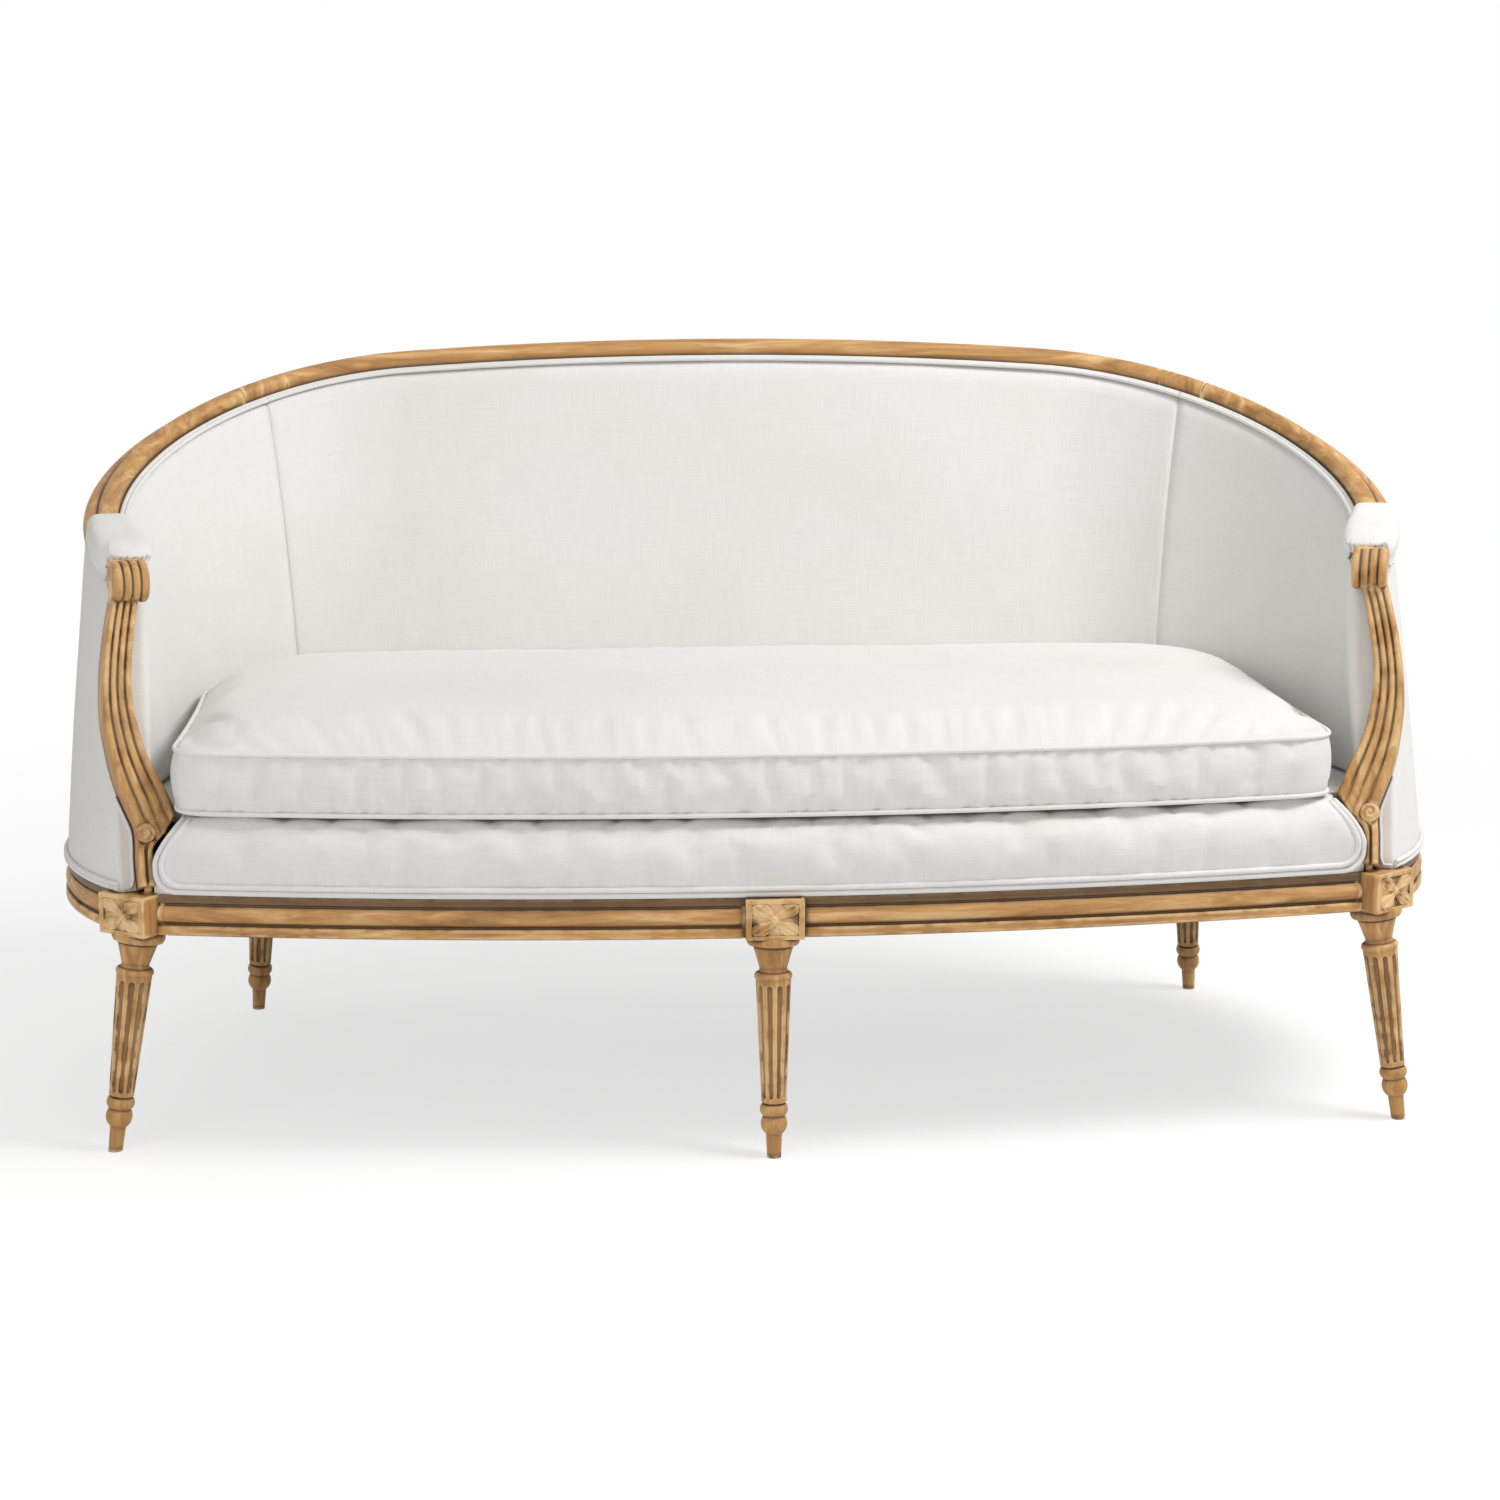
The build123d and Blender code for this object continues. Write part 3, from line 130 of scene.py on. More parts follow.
class SofaUpholstery(bpy.types.PropertyGroup):
    """Sizes of the stuffed and sewn pieces."""

    crown: length_setting("Cushion crown", "Rise of the cushion's top above its upper seam", 0.030)
    border_bulge: length_setting(
        "Border bulge", "How far the cushion's border swells between its seams", 0.005,
    )
    welt_radius: length_setting("Welt radius", "Radius of one covered cord", 0.0030)
    seam_depth: length_setting("Seam depth", "How far a flat seam draws the cover in", 0.0030)
    pad_height: length_setting("Arm pad height", "Rise of the arm pad above the top rail", 0.023)


class SofaCarving(bpy.types.PropertyGroup):
    """Sizes of the carved details."""

    reeds: IntProperty(
        name="Reeds", description="Reeds on the face of each arm support", default=4, min=2, max=8,
    )
    reed_height: length_setting("Reed height", "Height of a reed above the flutes beside it", 0.0044)
    leaf_height: length_setting(
        "Leaf height", "Height of the rosette leaves above the sunk ground", 0.0044,
    )


class SofaFinish(bpy.types.PropertyGroup):
    """Colours of the finishes."""

    wood_light: colour_setting(
        "Light wood", "Waxed beech between its bands", (0.580, 0.305, 0.095, 1),
    )
    # Pale beech of the figure and of worn edges, and also the colour of painted highlight on edges and
    # reed ridges.
    wood_rubbed_and_highlight: colour_setting(
        "Rubbed and highlit wood", "Beech where its edges and reeds are rubbed pale and painted with highlight", (0.820, 0.560, 0.280, 1),
    )
    wood_dark: colour_setting(
        "Dark wood", "Beech in the darker bands of its figure", (0.330, 0.150, 0.042, 1),
    )
    # Dark wax of the grooves and joints, and also the colour of painted shade in recesses and under the
    # deck.
    dark_wax_and_shade: colour_setting(
        "Old wax and shade", "Dark wax left in grooves and carving, and painted shade in recesses and under the deck", (0.062, 0.030, 0.012, 1),
    )
    cover: colour_setting("Cover", "Plain off-white cotton cover", (0.840, 0.835, 0.810, 1))
    cover_shade: colour_setting(
        "Cover shade", "Darker threads of the cover", (0.740, 0.730, 0.695, 1),
    )


class SofaStage(bpy.types.PropertyGroup):
    """Floor, lights and camera."""

    floor: colour_setting("Floor", "Pale studio floor", (0.90, 0.90, 0.90, 1))
    floor_glow: FloatProperty(
        name="Floor glow", description="White that the camera sees in the floor under the shadow",
        default=0.66,
    )
    key: FloatProperty(
        name="Key light", description="Power of the large light from the right", default=114.0,
        unit="POWER",
    )
    fill: FloatProperty(
        name="Fill light", description="Power of the light beside the camera", default=40.0,
        unit="POWER",
    )
    ambient: FloatProperty(
        name="Ambient", description="Strength of the even light all round", default=0.375,
    )
    lens: FloatProperty(
        name="Lens", description="Focal length of the camera in millimetres", default=72.6,
    )


def upholstery():
    """Settings of the stuffed and sewn pieces."""
    return bpy.context.scene.sofa_upholstery


def carving():
    """Settings of the carved details."""
    return bpy.context.scene.sofa_carving


def finish():
    """Settings of the finishes."""
    return bpy.context.scene.sofa_finish


def studio():
    """Settings of the floor, lights and camera."""
    return bpy.context.scene.sofa_stage


# Lines of the frame.

def compass(angle):
    """Level direction at an angle in degrees, 0 to the right and 90 to the back."""
    return Vector((math.cos(math.radians(angle)), math.sin(math.radians(angle)), 0))


def back_radius(ring):
    """Radius of the flat back arc that runs smoothly into both end arcs of a ring."""
    x, y, radius, rise = ring
    return (x ** 2 + 2 * radius * rise + rise ** 2) / (2 * rise)


def back_angle(ring):
    """Angle at which an end arc passes into the back arc."""
    x, y, radius, rise = ring
    return 90 - math.degrees(math.asin(x / (back_radius(ring) - radius)))


def mirrored(point):
    """The same point on the other side of the sofa."""
    return Vector((-point.x, point.y, point.z))


def ring_point(ring, angle, inset=0.0):
    """Plan point of a ring, moved in by the inset, where the ring faces the angle."""
    if angle > 90:
        return mirrored(ring_point(ring, 180 - angle, inset))
    x, y, radius, rise = ring
    if angle <= back_angle(ring):
        return Vector((x, y, 0)) + compass(angle) * (radius - inset)
    long_radius = back_radius(ring)
    return Vector((0, y + radius + rise - long_radius, 0)) + compass(angle) * (long_radius - inset)


def front_point(x, inset=0.0):
    """Plan point of the bowed front at one X, moved back by the inset."""
    radius = FRONT_RADIUS - inset
    return Vector((x, FRONT_CENTRE - math.sqrt(radius ** 2 - x ** 2), 0))


def ring_corner():
    """Plan point where the bowed front meets the right-hand end arc."""
    to_end = Vector((SEAT_RING[0], END_Y - FRONT_CENTRE, 0))
    span = to_end.length
    along = (FRONT_RADIUS ** 2 - END_RADIUS ** 2 + span ** 2) / (2 * span)
    across = math.sqrt(FRONT_RADIUS ** 2 - along ** 2)
    line = to_end.normalized()
    return Vector((0, FRONT_CENTRE, 0)) + line * along + Vector((-line.y, line.x, 0)) * across


# Where the wall of the arm ends: set back round the ring from the front corner.
ARM_CORNER = ring_corner() - Vector((SEAT_RING[0], END_Y, 0))
ARM_END_SEAT = math.degrees(math.atan2(ARM_CORNER.y, ARM_CORNER.x) + ARM_SETBACK / END_RADIUS)


def rail_top(point):
    """Height of the top rail over a plan point."""
    base = SOFA_HEIGHT - TOP_SLOPE * (TOP_BACK - TOP_RAIL_WIDTH / 2)
    return base + TOP_SLOPE * point.y - point.x ** 2 / (2 * TOP_ARCH_RADIUS)


def eased(angle, at_back, at_post, at_end):
    """Angle that runs smoothly through its values at the flat back, the post and the arm end."""
    if angle > 90:
        return 180 - eased(180 - angle, at_back, at_post, at_end)
    turn = back_angle(SEAT_RING)
    if angle >= turn:
        return 90 - (90 - at_back) * (90 - angle) / (90 - turn)
    to_post = turn - POST_ANGLE
    to_end = turn - ARM_END_SEAT
    bend = ((at_back - at_end) / to_end - (at_back - at_post) / to_post) / (to_end - to_post)
    lead = (at_back - at_post) / to_post - bend * to_post
    return at_back - lead * (turn - angle) - bend * (turn - angle) ** 2


def top_angle(angle):
    """Angle on the top ring that belongs to an angle on the seat ring."""
    return eased(angle, back_angle(TOP_RING), POST_TOP_ANGLE, ARM_END_TOP)


def wall_out(angle):
    """Direction that the wall's cross section looks along."""
    return compass(eased(angle, back_angle(SEAT_RING), POST_FACE, ARM_END_FACE))


def wall_foot(angle):
    """Outer edge of the wall on top of the seat rail."""
    return ring_point(SEAT_RING, angle) + UP * RAIL_TOP


def wall_head(angle):
    """Outer edge of the wall under the top rail."""
    turn = top_angle(angle)
    middle = ring_point(TOP_RING, turn, TOP_RAIL_WIDTH / 2)
    return ring_point(TOP_RING, turn) + UP * (rail_top(middle) - TOP_RAIL_HEIGHT)


def wall_point(angle, share, depth):
    """Point of the wall: share 0 at the seat rail, 1 under the top rail; depth goes inward."""
    foot = wall_foot(angle)
    return foot + (wall_head(angle) - foot) * share - wall_out(angle) * depth


def wall_up(angle):
    """Direction that climbs the wall in its cross section."""
    climb = wall_head(angle) - wall_foot(angle)
    out = wall_out(angle)
    return (climb - out * climb.dot(out)).normalized()


def rail_point(angle, depth, rise):
    """Point near the top rail: depth inward from its outer face, rise above its underside."""
    return wall_point(angle, 1, depth) + wall_up(angle) * rise


def arm_facing():
    """Direction that the front of the right arm looks along."""
    return wall_out(ARM_END_SEAT).cross(wall_up(ARM_END_SEAT))


def wall_share(angle, height):
    """Share of the wall's climb at a height above the floor."""
    return (height - RAIL_TOP) / (wall_head(angle).z - RAIL_TOP)


def pad_depth(angle):
    """Depth of the padded inner face just above the seat: deepest along the arms."""
    turn = angle if angle <= 90 else 180 - angle
    if turn >= 0:
        return PAD_BACK + (PAD_ARM - PAD_BACK) * math.cos(math.radians(turn)) ** 2
    ease = math.sin(math.radians(90 * turn / ARM_END_SEAT)) ** 2
    return PAD_ARM + (PAD_FRONT - PAD_ARM) * ease


def pad_foot(angle, inset):
    """Plan point of the padded inner face just above the deck, moved in by the inset."""
    point = wall_point(angle, wall_share(angle, PAD_BASE), pad_depth(angle) + inset)
    return Vector((point.x, point.y, 0))


# Mesh tools.

def blend(low, high, value):
    """Smooth step from 0 at low to 1 at high."""
    share = min(1.0, max(0.0, (value - low) / (high - low)))
    return share * share * (3 - 2 * share)


def power(value, exponent):
    """A power that keeps the sign."""
    return math.copysign(abs(value) ** exponent, value)


def spread(start, end, count):
    """Evenly spaced values from start to end."""
    return [start + (end - start) * i / count for i in range(count + 1)]


def along_line(points, value):
    """Value on a smooth line through (place, height) points in order of place."""
    if value <= points[0][0]:
        return points[0][1]
    for index in range(len(points) - 1):
        (x0, y0), (x1, y1) = points[index], points[index + 1]
        if value <= x1:
            before = points[max(index - 1, 0)]
            after = points[min(index + 2, len(points) - 1)]
            slope0 = (y1 - before[1]) / (x1 - before[0])
            slope1 = (after[1] - y0) / (after[0] - x0)
            step = x1 - x0
            t = (value - x0) / step
            return (
                y0 * (1 + 2 * t) * (1 - t) ** 2 + slope0 * step * t * (1 - t) ** 2
                + y1 * t * t * (3 - 2 * t) + slope1 * step * t * t * (t - 1)
            )
    return points[-1][1]


def resampled(line, count):
    """The same polyline with evenly spaced points."""
    lengths = [0.0]
    for a, b in zip(line, line[1:]):
        lengths.append(lengths[-1] + (b - a).length)
    made = []
    index = 0
    for target in spread(0.0, lengths[-1], count):
        while index < len(line) - 2 and lengths[index + 1] < target:
            index += 1
        span = lengths[index + 1] - lengths[index]
        made.append(line[index].lerp(line[index + 1], (target - lengths[index]) / span))
    return made


def tube(path, radius, sides=10, reference=UP):
    """Rows of a round tube along a path."""
    rows = []
    for index, point in enumerate(path):
        ahead = path[min(index + 1, len(path) - 1)]
        behind = path[max(index - 1, 0)]
        along = (ahead - behind).normalized()
        side = along.cross(reference).normalized()
        lift = side.cross(along)
        rows.append([
            point + side * radius * math.cos(turn) + lift * radius * math.sin(turn)
            for turn in (math.tau * step / sides for step in range(sides))
        ])
    return rows


def ring_tube(path, radius, sides=10):
    """Rows of a round tube along a closed level path."""
    rows = tube([path[-1]] + path + path[:2], radius, sides)[1:-1]
    rows[-1] = rows[0]
    return rows


def row_lengths(rows):
    """Distance along the middle of a set of rows."""
    middle = len(rows[0]) // 2
    lengths = [0.0]
    for a, b in zip(rows, rows[1:]):
        lengths.append(lengths[-1] + (b[middle] - a[middle]).length)
    return lengths


def skin(name, shells):
    """Mesh object of one or more shells; a shell is its rows and whether they are closed loops."""
    mesh = bpy.data.meshes.new(name)
    work = bmesh.new()
    cloth = work.loops.layers.uv.new("cloth")
    for rows, closed in shells:
        along = row_lengths(rows)
        loop = [*rows[len(rows) // 2], rows[len(rows) // 2][0]]
        across = row_lengths([[p] for p in loop])
        made = [[work.verts.new(p) for p in row] for row in rows]
        width = len(rows[0])
        for r in range(len(rows) - 1):
            for c in range(width if closed else width - 1):
                d = (c + 1) % width
                face = work.faces.new((made[r][c], made[r][d], made[r + 1][d], made[r + 1][c]))
                face.smooth = True
                places = ((r, c), (r, c + 1), (r + 1, c + 1), (r + 1, c))
                for corner, (row, column) in zip(face.loops, places):
                    corner[cloth].uv = (along[row], across[column])
        if closed and rows[0] is not rows[-1]:
            for row in (made[0], made[-1]):
                work.faces.new(row)
    bmesh.ops.remove_doubles(work, verts=work.verts, dist=1e-6)
    bmesh.ops.recalc_face_normals(work, faces=work.faces)
    work.to_mesh(mesh)
    work.free()
    piece = bpy.data.objects.new(name, mesh)
    bpy.context.scene.collection.objects.link(piece)
    return piece


CLOTH_FRAMES = 20
CLOTH_QUALITY = 5
CLOTH_MASS = 0.2
CLOTH_STRETCH = 15
CLOTH_SHEAR = 8
CLOTH_BEND = 0.5


def settle(piece, held, pressure, slack, most):
    """Let a stuffed cover find its shape: cloth held at some points and blown out by its filling."""
    scene = bpy.context.scene
    seams = piece.vertex_groups.new(name="seams")
    seams.add(held, 1.0, "REPLACE")
    cloth = piece.modifiers.new("Cover", "CLOTH")
    settings = cloth.settings
    settings.vertex_group_mass = "seams"
    settings.quality = CLOTH_QUALITY
    settings.mass = CLOTH_MASS
    settings.tension_stiffness = CLOTH_STRETCH
    settings.compression_stiffness = CLOTH_STRETCH
    settings.shear_stiffness = CLOTH_SHEAR
    settings.bending_stiffness = CLOTH_BEND
    settings.use_pressure = True
    settings.uniform_pressure_force = pressure
    settings.shrink_min = -slack
    settings.effector_weights.gravity = 0
    cloth.collision_settings.use_collision = False
    cloth.point_cache.frame_start = 1
    cloth.point_cache.frame_end = CLOTH_FRAMES
    for step in range(1, CLOTH_FRAMES + 1):
        scene.frame_set(step)
    shaped = piece.evaluated_get(bpy.context.evaluated_depsgraph_get())
    ends = [vertex.co.copy() for vertex in shaped.data.vertices]
    piece.modifiers.remove(cloth)
    piece.vertex_groups.remove(seams)
    scene.frame_set(1)
    for vertex, end in zip(piece.data.vertices, ends):
        shift = end - vertex.co
        if shift.length > most:
            shift *= most / shift.length
        vertex.co += shift
    piece.data.update()


def dress(piece, body, material, slot, *nodes):
    """Finish a new piece: its material, body and the frame nodes that it stands for; slot is not used."""
    piece.data.materials.append(material)
    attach(piece, body)
    if nodes:
        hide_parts(*nodes)
    return piece


def grain(point, size, seed=0.0):
    """Smooth noise between -1 and 1 that repeats over about the given size."""
    return noise.noise(Vector((point.x / size, point.y / size, point.z / size + seed)))


# Shader groups and materials.

def feed(tree, node, inputs):
    """Give each named input of a node another node's socket or a fixed value."""
    for key, value in inputs.items():
        if isinstance(value, bpy.types.NodeSocket):
            tree.links.new(value, node.inputs[key])
        else:
            node.inputs[key].default_value = value


def place(tree, kind, inputs=None, **settings):
    """New node with its settings and inputs."""
    node = tree.nodes.new(kind)
    for key, value in settings.items():
        setattr(node, key, value)
    feed(tree, node, inputs or {})
    return node


def maths(tree, operation, *values):
    """Result of a sum on sockets or fixed values."""
    return place(tree, "ShaderNodeMath", dict(enumerate(values)), operation=operation).outputs[0]


def vector_maths(tree, operation, *values):
    """Result of a sum on vectors; a length or a dot product is a plain value."""
    node = place(tree, "ShaderNodeVectorMath", dict(enumerate(values)), operation=operation)
    return node.outputs["Value" if operation in ("LENGTH", "DOT_PRODUCT") else "Vector"]


def ranged(tree, value, start, end, low=0.0, high=1.0, smooth=False):
    """Value carried from one range to another and kept inside it."""
    node = place(
        tree, "ShaderNodeMapRange",
        {"Value": value, "From Min": start, "From Max": end, "To Min": low, "To Max": high},
        interpolation_type="SMOOTHSTEP" if smooth else "LINEAR",
    )
    return node.outputs["Result"]


def mixed(tree, share, first, second):
    """Colour between two colours by a share."""
    node = place(tree, "ShaderNodeMix", {"Factor": share, "A": first, "B": second}, data_type="RGBA")
    return node.outputs["Result"]


def cloud(tree, where, scale, detail, roughness=0.5, distortion=0.0):
    """Noise at the given places."""
    node = place(tree, "ShaderNodeTexNoise", {
        "Vector": where, "Scale": scale, "Detail": detail, "Roughness": roughness,
        "Distortion": distortion,
    })
    return node.outputs["Fac"]


def bumped(tree, height, strength, distance):
    """Surface direction that a height gives."""
    node = place(
        tree, "ShaderNodeBump", {"Height": height, "Strength": strength, "Distance": distance},
    )
    return node.outputs["Normal"]


def use_group(tree, group, inputs):
    """Results of a shader group placed in a material."""
    return place(tree, "ShaderNodeGroup", inputs, node_tree=group).outputs


def object_place(tree):
    """Place on the piece in its own axes."""
    return place(tree, "ShaderNodeTexCoord").outputs["Object"]


def new_group(name, inputs, outputs):
    """Empty shader group with named sockets, and what it is given."""
    tree = bpy.data.node_groups.new(name, "ShaderNodeTree")
    for label, kind, default in inputs:
        socket = tree.interface.new_socket(label, in_out="INPUT", socket_type=kind)
        socket.default_value = default
    for label in outputs:
        tree.interface.new_socket(label, in_out="OUTPUT", socket_type="NodeSocketFloat")
    return tree, place(tree, "NodeGroupInput").outputs


def wood_grain_group():
    """Long figure, fine pores and their height, stretched along the timber."""
    name = "Wood grain"
    if name in bpy.data.node_groups:
        return bpy.data.node_groups[name]
    tree, given = new_group(
        name,
        [("Vector", "NodeSocketVector", (0, 0, 0)), ("Stretch", "NodeSocketVector", (40, 40, 4))],
        ["Figure", "Pores", "Height"],
    )
    drawn = vector_maths(tree, "MULTIPLY", given["Vector"], given["Stretch"])
    figure = cloud(tree, drawn, 1.0, 6.0, 0.62, 0.6)
    pores = ranged(tree, cloud(tree, drawn, 9.0, 3.0, 0.7), 0.56, 0.74, smooth=True)
    place(tree, "NodeGroupOutput", {
        "Figure": figure, "Pores": pores, "Height": maths(tree, "SUBTRACT", figure, pores),
    })
    return tree


EDGE_REACH = 0.006


def crevice_group():
    """Masks of grooves and inner corners, where dark wax stays and shade is painted, and of edges rubbed
    pale in patches, which also paints highlight.
    """
    name = "Crevices"
    if name in bpy.data.node_groups:
        return bpy.data.node_groups[name]
    tree, given = new_group(
        name,
        [("Vector", "NodeSocketVector", (0, 0, 0)), ("Reach", "NodeSocketFloat", 0.01)],
        ["Groove", "Worn and highlit"],
    )
    # Occlusion within the reach: painted shade in grooves and corners and under neighbouring parts.
    hollow = place(tree, "ShaderNodeAmbientOcclusion", {"Distance": given["Reach"]}, samples=8)
    # Occlusion inside the wood finds convex edges and reed ridges: edge wear and painted highlight.
    edge = place(
        tree, "ShaderNodeAmbientOcclusion", {"Distance": EDGE_REACH}, samples=8, inside=True,
    )
    worn_and_highlit = ranged(tree, edge.outputs["AO"], 0.96, 0.60, smooth=True)
    ragged = ranged(tree, cloud(tree, given["Vector"], 38.0, 4.0), 0.36, 0.60, smooth=True)
    place(tree, "NodeGroupOutput", {
        "Groove": ranged(tree, hollow.outputs["AO"], 0.96, 0.66, smooth=True),
        "Worn and highlit": maths(tree, "MULTIPLY", worn_and_highlit, ragged),
    })
    return tree


# How far the slubs are drawn out along and across their thread.
SLUB_LONG = 18.0
SLUB_SHORT = 420.0


def weave_group():
    """Plain weave: threads over and under each other, with thicker slubs here and there."""
    name = "Plain weave"
    if name in bpy.data.node_groups:
        return bpy.data.node_groups[name]
    tree, given = new_group(
        name,
        [("Vector", "NodeSocketVector", (0, 0, 0)), ("Threads", "NodeSocketFloat", 900.0)],
        ["Height", "Slub"],
    )
    split = place(tree, "ShaderNodeSeparateXYZ", {0: given["Vector"]}).outputs
    waves = []
    for axis in ("X", "Y"):
        turn = maths(tree, "MULTIPLY", split[axis], given["Threads"])
        waves.append(maths(tree, "SINE", maths(tree, "MULTIPLY", turn, math.pi)))
    slubs = []
    for stretch in ((SLUB_LONG, SLUB_SHORT, 1.0), (SLUB_SHORT, SLUB_LONG, 1.0)):
        drawn = vector_maths(tree, "MULTIPLY", given["Vector"], stretch)
        slubs.append(cloud(tree, drawn, 1.0, 2.0))
    place(tree, "NodeGroupOutput", {
        "Height": maths(tree, "MULTIPLY", *waves),
        "Slub": ranged(tree, maths(tree, "ADD", *slubs), 0.80, 1.25),
    })
    return tree


def new_material(name):
    """New material with its node tree and its shader."""
    material = bpy.data.materials.new(name)
    material.use_nodes = True
    tree = material.node_tree
    return material, tree, tree.nodes["Principled BSDF"]


JOINT_EDGE = 0.0012
JOINT_CORE = 0.0004
JOINT_SHARE = 0.8


def joint_line(tree, where, joints):
    """Mask of the hair-thin joints across a rail, at planes on both sides of the sofa."""
    split = place(tree, "ShaderNodeSeparateXYZ", {0: where}).outputs
    side = maths(tree, "ABSOLUTE", split["X"])
    folded = place(tree, "ShaderNodeCombineXYZ", {"X": side, "Y": split["Y"], "Z": split["Z"]})
    mask = 0.0
    for point, normal in joints:
        off = vector_maths(tree, "SUBTRACT", folded.outputs[0], point)
        gap = maths(tree, "ABSOLUTE", vector_maths(tree, "DOT_PRODUCT", off, normal))
        line = ranged(tree, gap, JOINT_EDGE, JOINT_CORE, high=JOINT_SHARE)
        mask = maths(tree, "MAXIMUM", mask, line)
    return mask


PORE_SHARE = 0.45
GROOVE_SHARE = 0.92
# Painted shadow of the deck along the top of the rails: how dark it gets, and the heights where it starts
# and is full.
SHADOW_BAND_SHARE = 0.80
SHADOW_BAND_FROM = RAIL_TOP - 0.0125
SHADOW_BAND_FULL = RAIL_TOP - 0.0105
# Longer reach of the painted shade on the carving.
CARVED_REACH = 0.014


def waxed_wood(name, stretch, reach=0.010, joints=(), painted_shadow_band=False):
    """Stripped and waxed beech with dark wax and painted shade in its grooves and pale worn edges that
    also paint highlight; stretch is the way of the grain, and a rail's top can take a painted shadow band
    under the deck.
    """
    if name in bpy.data.materials:
        return bpy.data.materials[name]
    colours = finish()
    material, tree, shader = new_material(name)
    where = object_place(tree)
    grown = use_group(tree, wood_grain_group(), {"Vector": where, "Stretch": stretch})
    hollow = use_group(tree, crevice_group(), {"Vector": where, "Reach": reach})
    tone = place(tree, "ShaderNodeValToRGB", {"Fac": grown["Figure"]})
    first, last = tone.color_ramp.elements
    first.position = 0.34
    first.color = colours.wood_dark
    last.position = 0.72
    last.color = colours.wood_rubbed_and_highlight
    middle = tone.color_ramp.elements.new(0.54)
    middle.color = colours.wood_light
    pores = maths(tree, "MULTIPLY", grown["Pores"], PORE_SHARE)
    colour = mixed(tree, pores, tone.outputs["Color"], colours.wood_dark)
    # Painted shade, together with the dark wax, where the occlusion mask finds grooves, corners and
    # nearby parts.
    grooves = maths(tree, "MULTIPLY", hollow["Groove"], GROOVE_SHARE)
    colour = mixed(tree, grooves, colour, colours.dark_wax_and_shade)
    # Pale worn edges, which also paint highlight on edges and reed ridges.
    colour = mixed(tree, hollow["Worn and highlit"], colour, colours.wood_rubbed_and_highlight)
    # Painted shadow: the top band of a rail darkens as if under the deck's overhang.
    if painted_shadow_band:
        height = place(tree, "ShaderNodeSeparateXYZ", {0: where}).outputs["Z"]
        deck_shadow_band = ranged(tree, height, SHADOW_BAND_FROM, SHADOW_BAND_FULL, high=SHADOW_BAND_SHARE)
        colour = mixed(tree, deck_shadow_band, colour, colours.dark_wax_and_shade)
    if joints:
        colour = mixed(tree, joint_line(tree, where, joints), colour, colours.dark_wax_and_shade)
    feed(tree, shader, {
        "Base Color": colour,
        "Roughness": ranged(tree, grown["Figure"], 0.0, 1.0, 0.42, 0.62),
        "Normal": bumped(tree, grown["Height"], 0.25, 0.0006),
    })
    return material


COVER_THREADS = 900.0
COVER_AGED = (0.74, 0.725, 0.66, 1)


def cover_fabric():
    """Plain off-white cotton with a fine weave and slubs."""
    name = "White cotton cover"
    if name in bpy.data.materials:
        return bpy.data.materials[name]
    colours = finish()
    material, tree, shader = new_material(name)
    sewn = place(tree, "ShaderNodeUVMap", uv_map="cloth").outputs["UV"]
    weave = use_group(tree, weave_group(), {"Vector": sewn, "Threads": COVER_THREADS})
    slubs = maths(tree, "MULTIPLY", weave["Slub"], 0.40)
    threads = mixed(tree, slubs, colours.cover, colours.cover_shade)
    patches = ranged(tree, cloud(tree, object_place(tree), 5.0, 4.0), 0.45, 0.75, high=0.35)
    slub_bump = place(tree, "ShaderNodeBump", {
        "Height": weave["Slub"], "Strength": 0.20, "Distance": 0.0006,
        "Normal": bumped(tree, weave["Height"], 0.35, 0.0003),
    })
    feed(tree, shader, {
        "Base Color": mixed(tree, patches, threads, COVER_AGED),
        "Roughness": 0.92, "Specular IOR Level": 0.25, "Sheen Weight": 0.12,
        "Normal": slub_bump.outputs["Normal"],
    })
    return material


def coarse_cloth(name, light, dark, threads):
    """Coarse woven cloth of the hidden layers, woven along X and Y."""
    if name in bpy.data.materials:
        return bpy.data.materials[name]
    material, tree, shader = new_material(name)
    weave = use_group(tree, weave_group(), {"Vector": object_place(tree), "Threads": threads})
    feed(tree, shader, {
        "Base Color": mixed(tree, weave["Slub"], light, dark), "Roughness": 0.95,
        "Normal": bumped(tree, weave["Height"], 0.6, 0.0008),
    })
    return material


STEEL = (0.42, 0.42, 0.43, 1)
RUST = (0.22, 0.10, 0.05, 1)


def spring_steel():
    """Dull drawn wire with a bloom of rust."""
    name = "Spring steel"
    if name in bpy.data.materials:
        return bpy.data.materials[name]
    material, tree, shader = new_material(name)
    rust = ranged(tree, cloud(tree, object_place(tree), 60.0, 5.0), 0.5, 0.7)
    feed(tree, shader, {
        "Base Color": mixed(tree, rust, STEEL, RUST),
        "Metallic": ranged(tree, rust, 0.0, 1.0, 1.0, 0.1),
        "Roughness": ranged(tree, rust, 0.0, 1.0, 0.35, 0.85),
    })
    return material


GRAIN_UP = (55.0, 55.0, 5.0)
GRAIN_ALONG = (5.0, 55.0, 55.0)
GRAIN_BACK = (55.0, 5.0, 55.0)
UPRIGHT = ("Waxed beech upright", GRAIN_UP)
RAIL_JOINT_SPREAD = 4.6


def wood_rail(name, stretch):
    """Wood of a top rail, with the joints beside the back posts."""
    joints = []
    for angle in (POST_ANGLE - RAIL_JOINT_SPREAD, POST_ANGLE + RAIL_JOINT_SPREAD):
        middle = rail_point(angle, TOP_RAIL_WIDTH / 2, TOP_RAIL_HEIGHT / 2)
        ahead = rail_point(angle + 0.5, TOP_RAIL_WIDTH / 2, TOP_RAIL_HEIGHT / 2)
        joints.append((middle, (ahead - middle).normalized()))
    return waxed_wood(name, stretch, joints=joints)


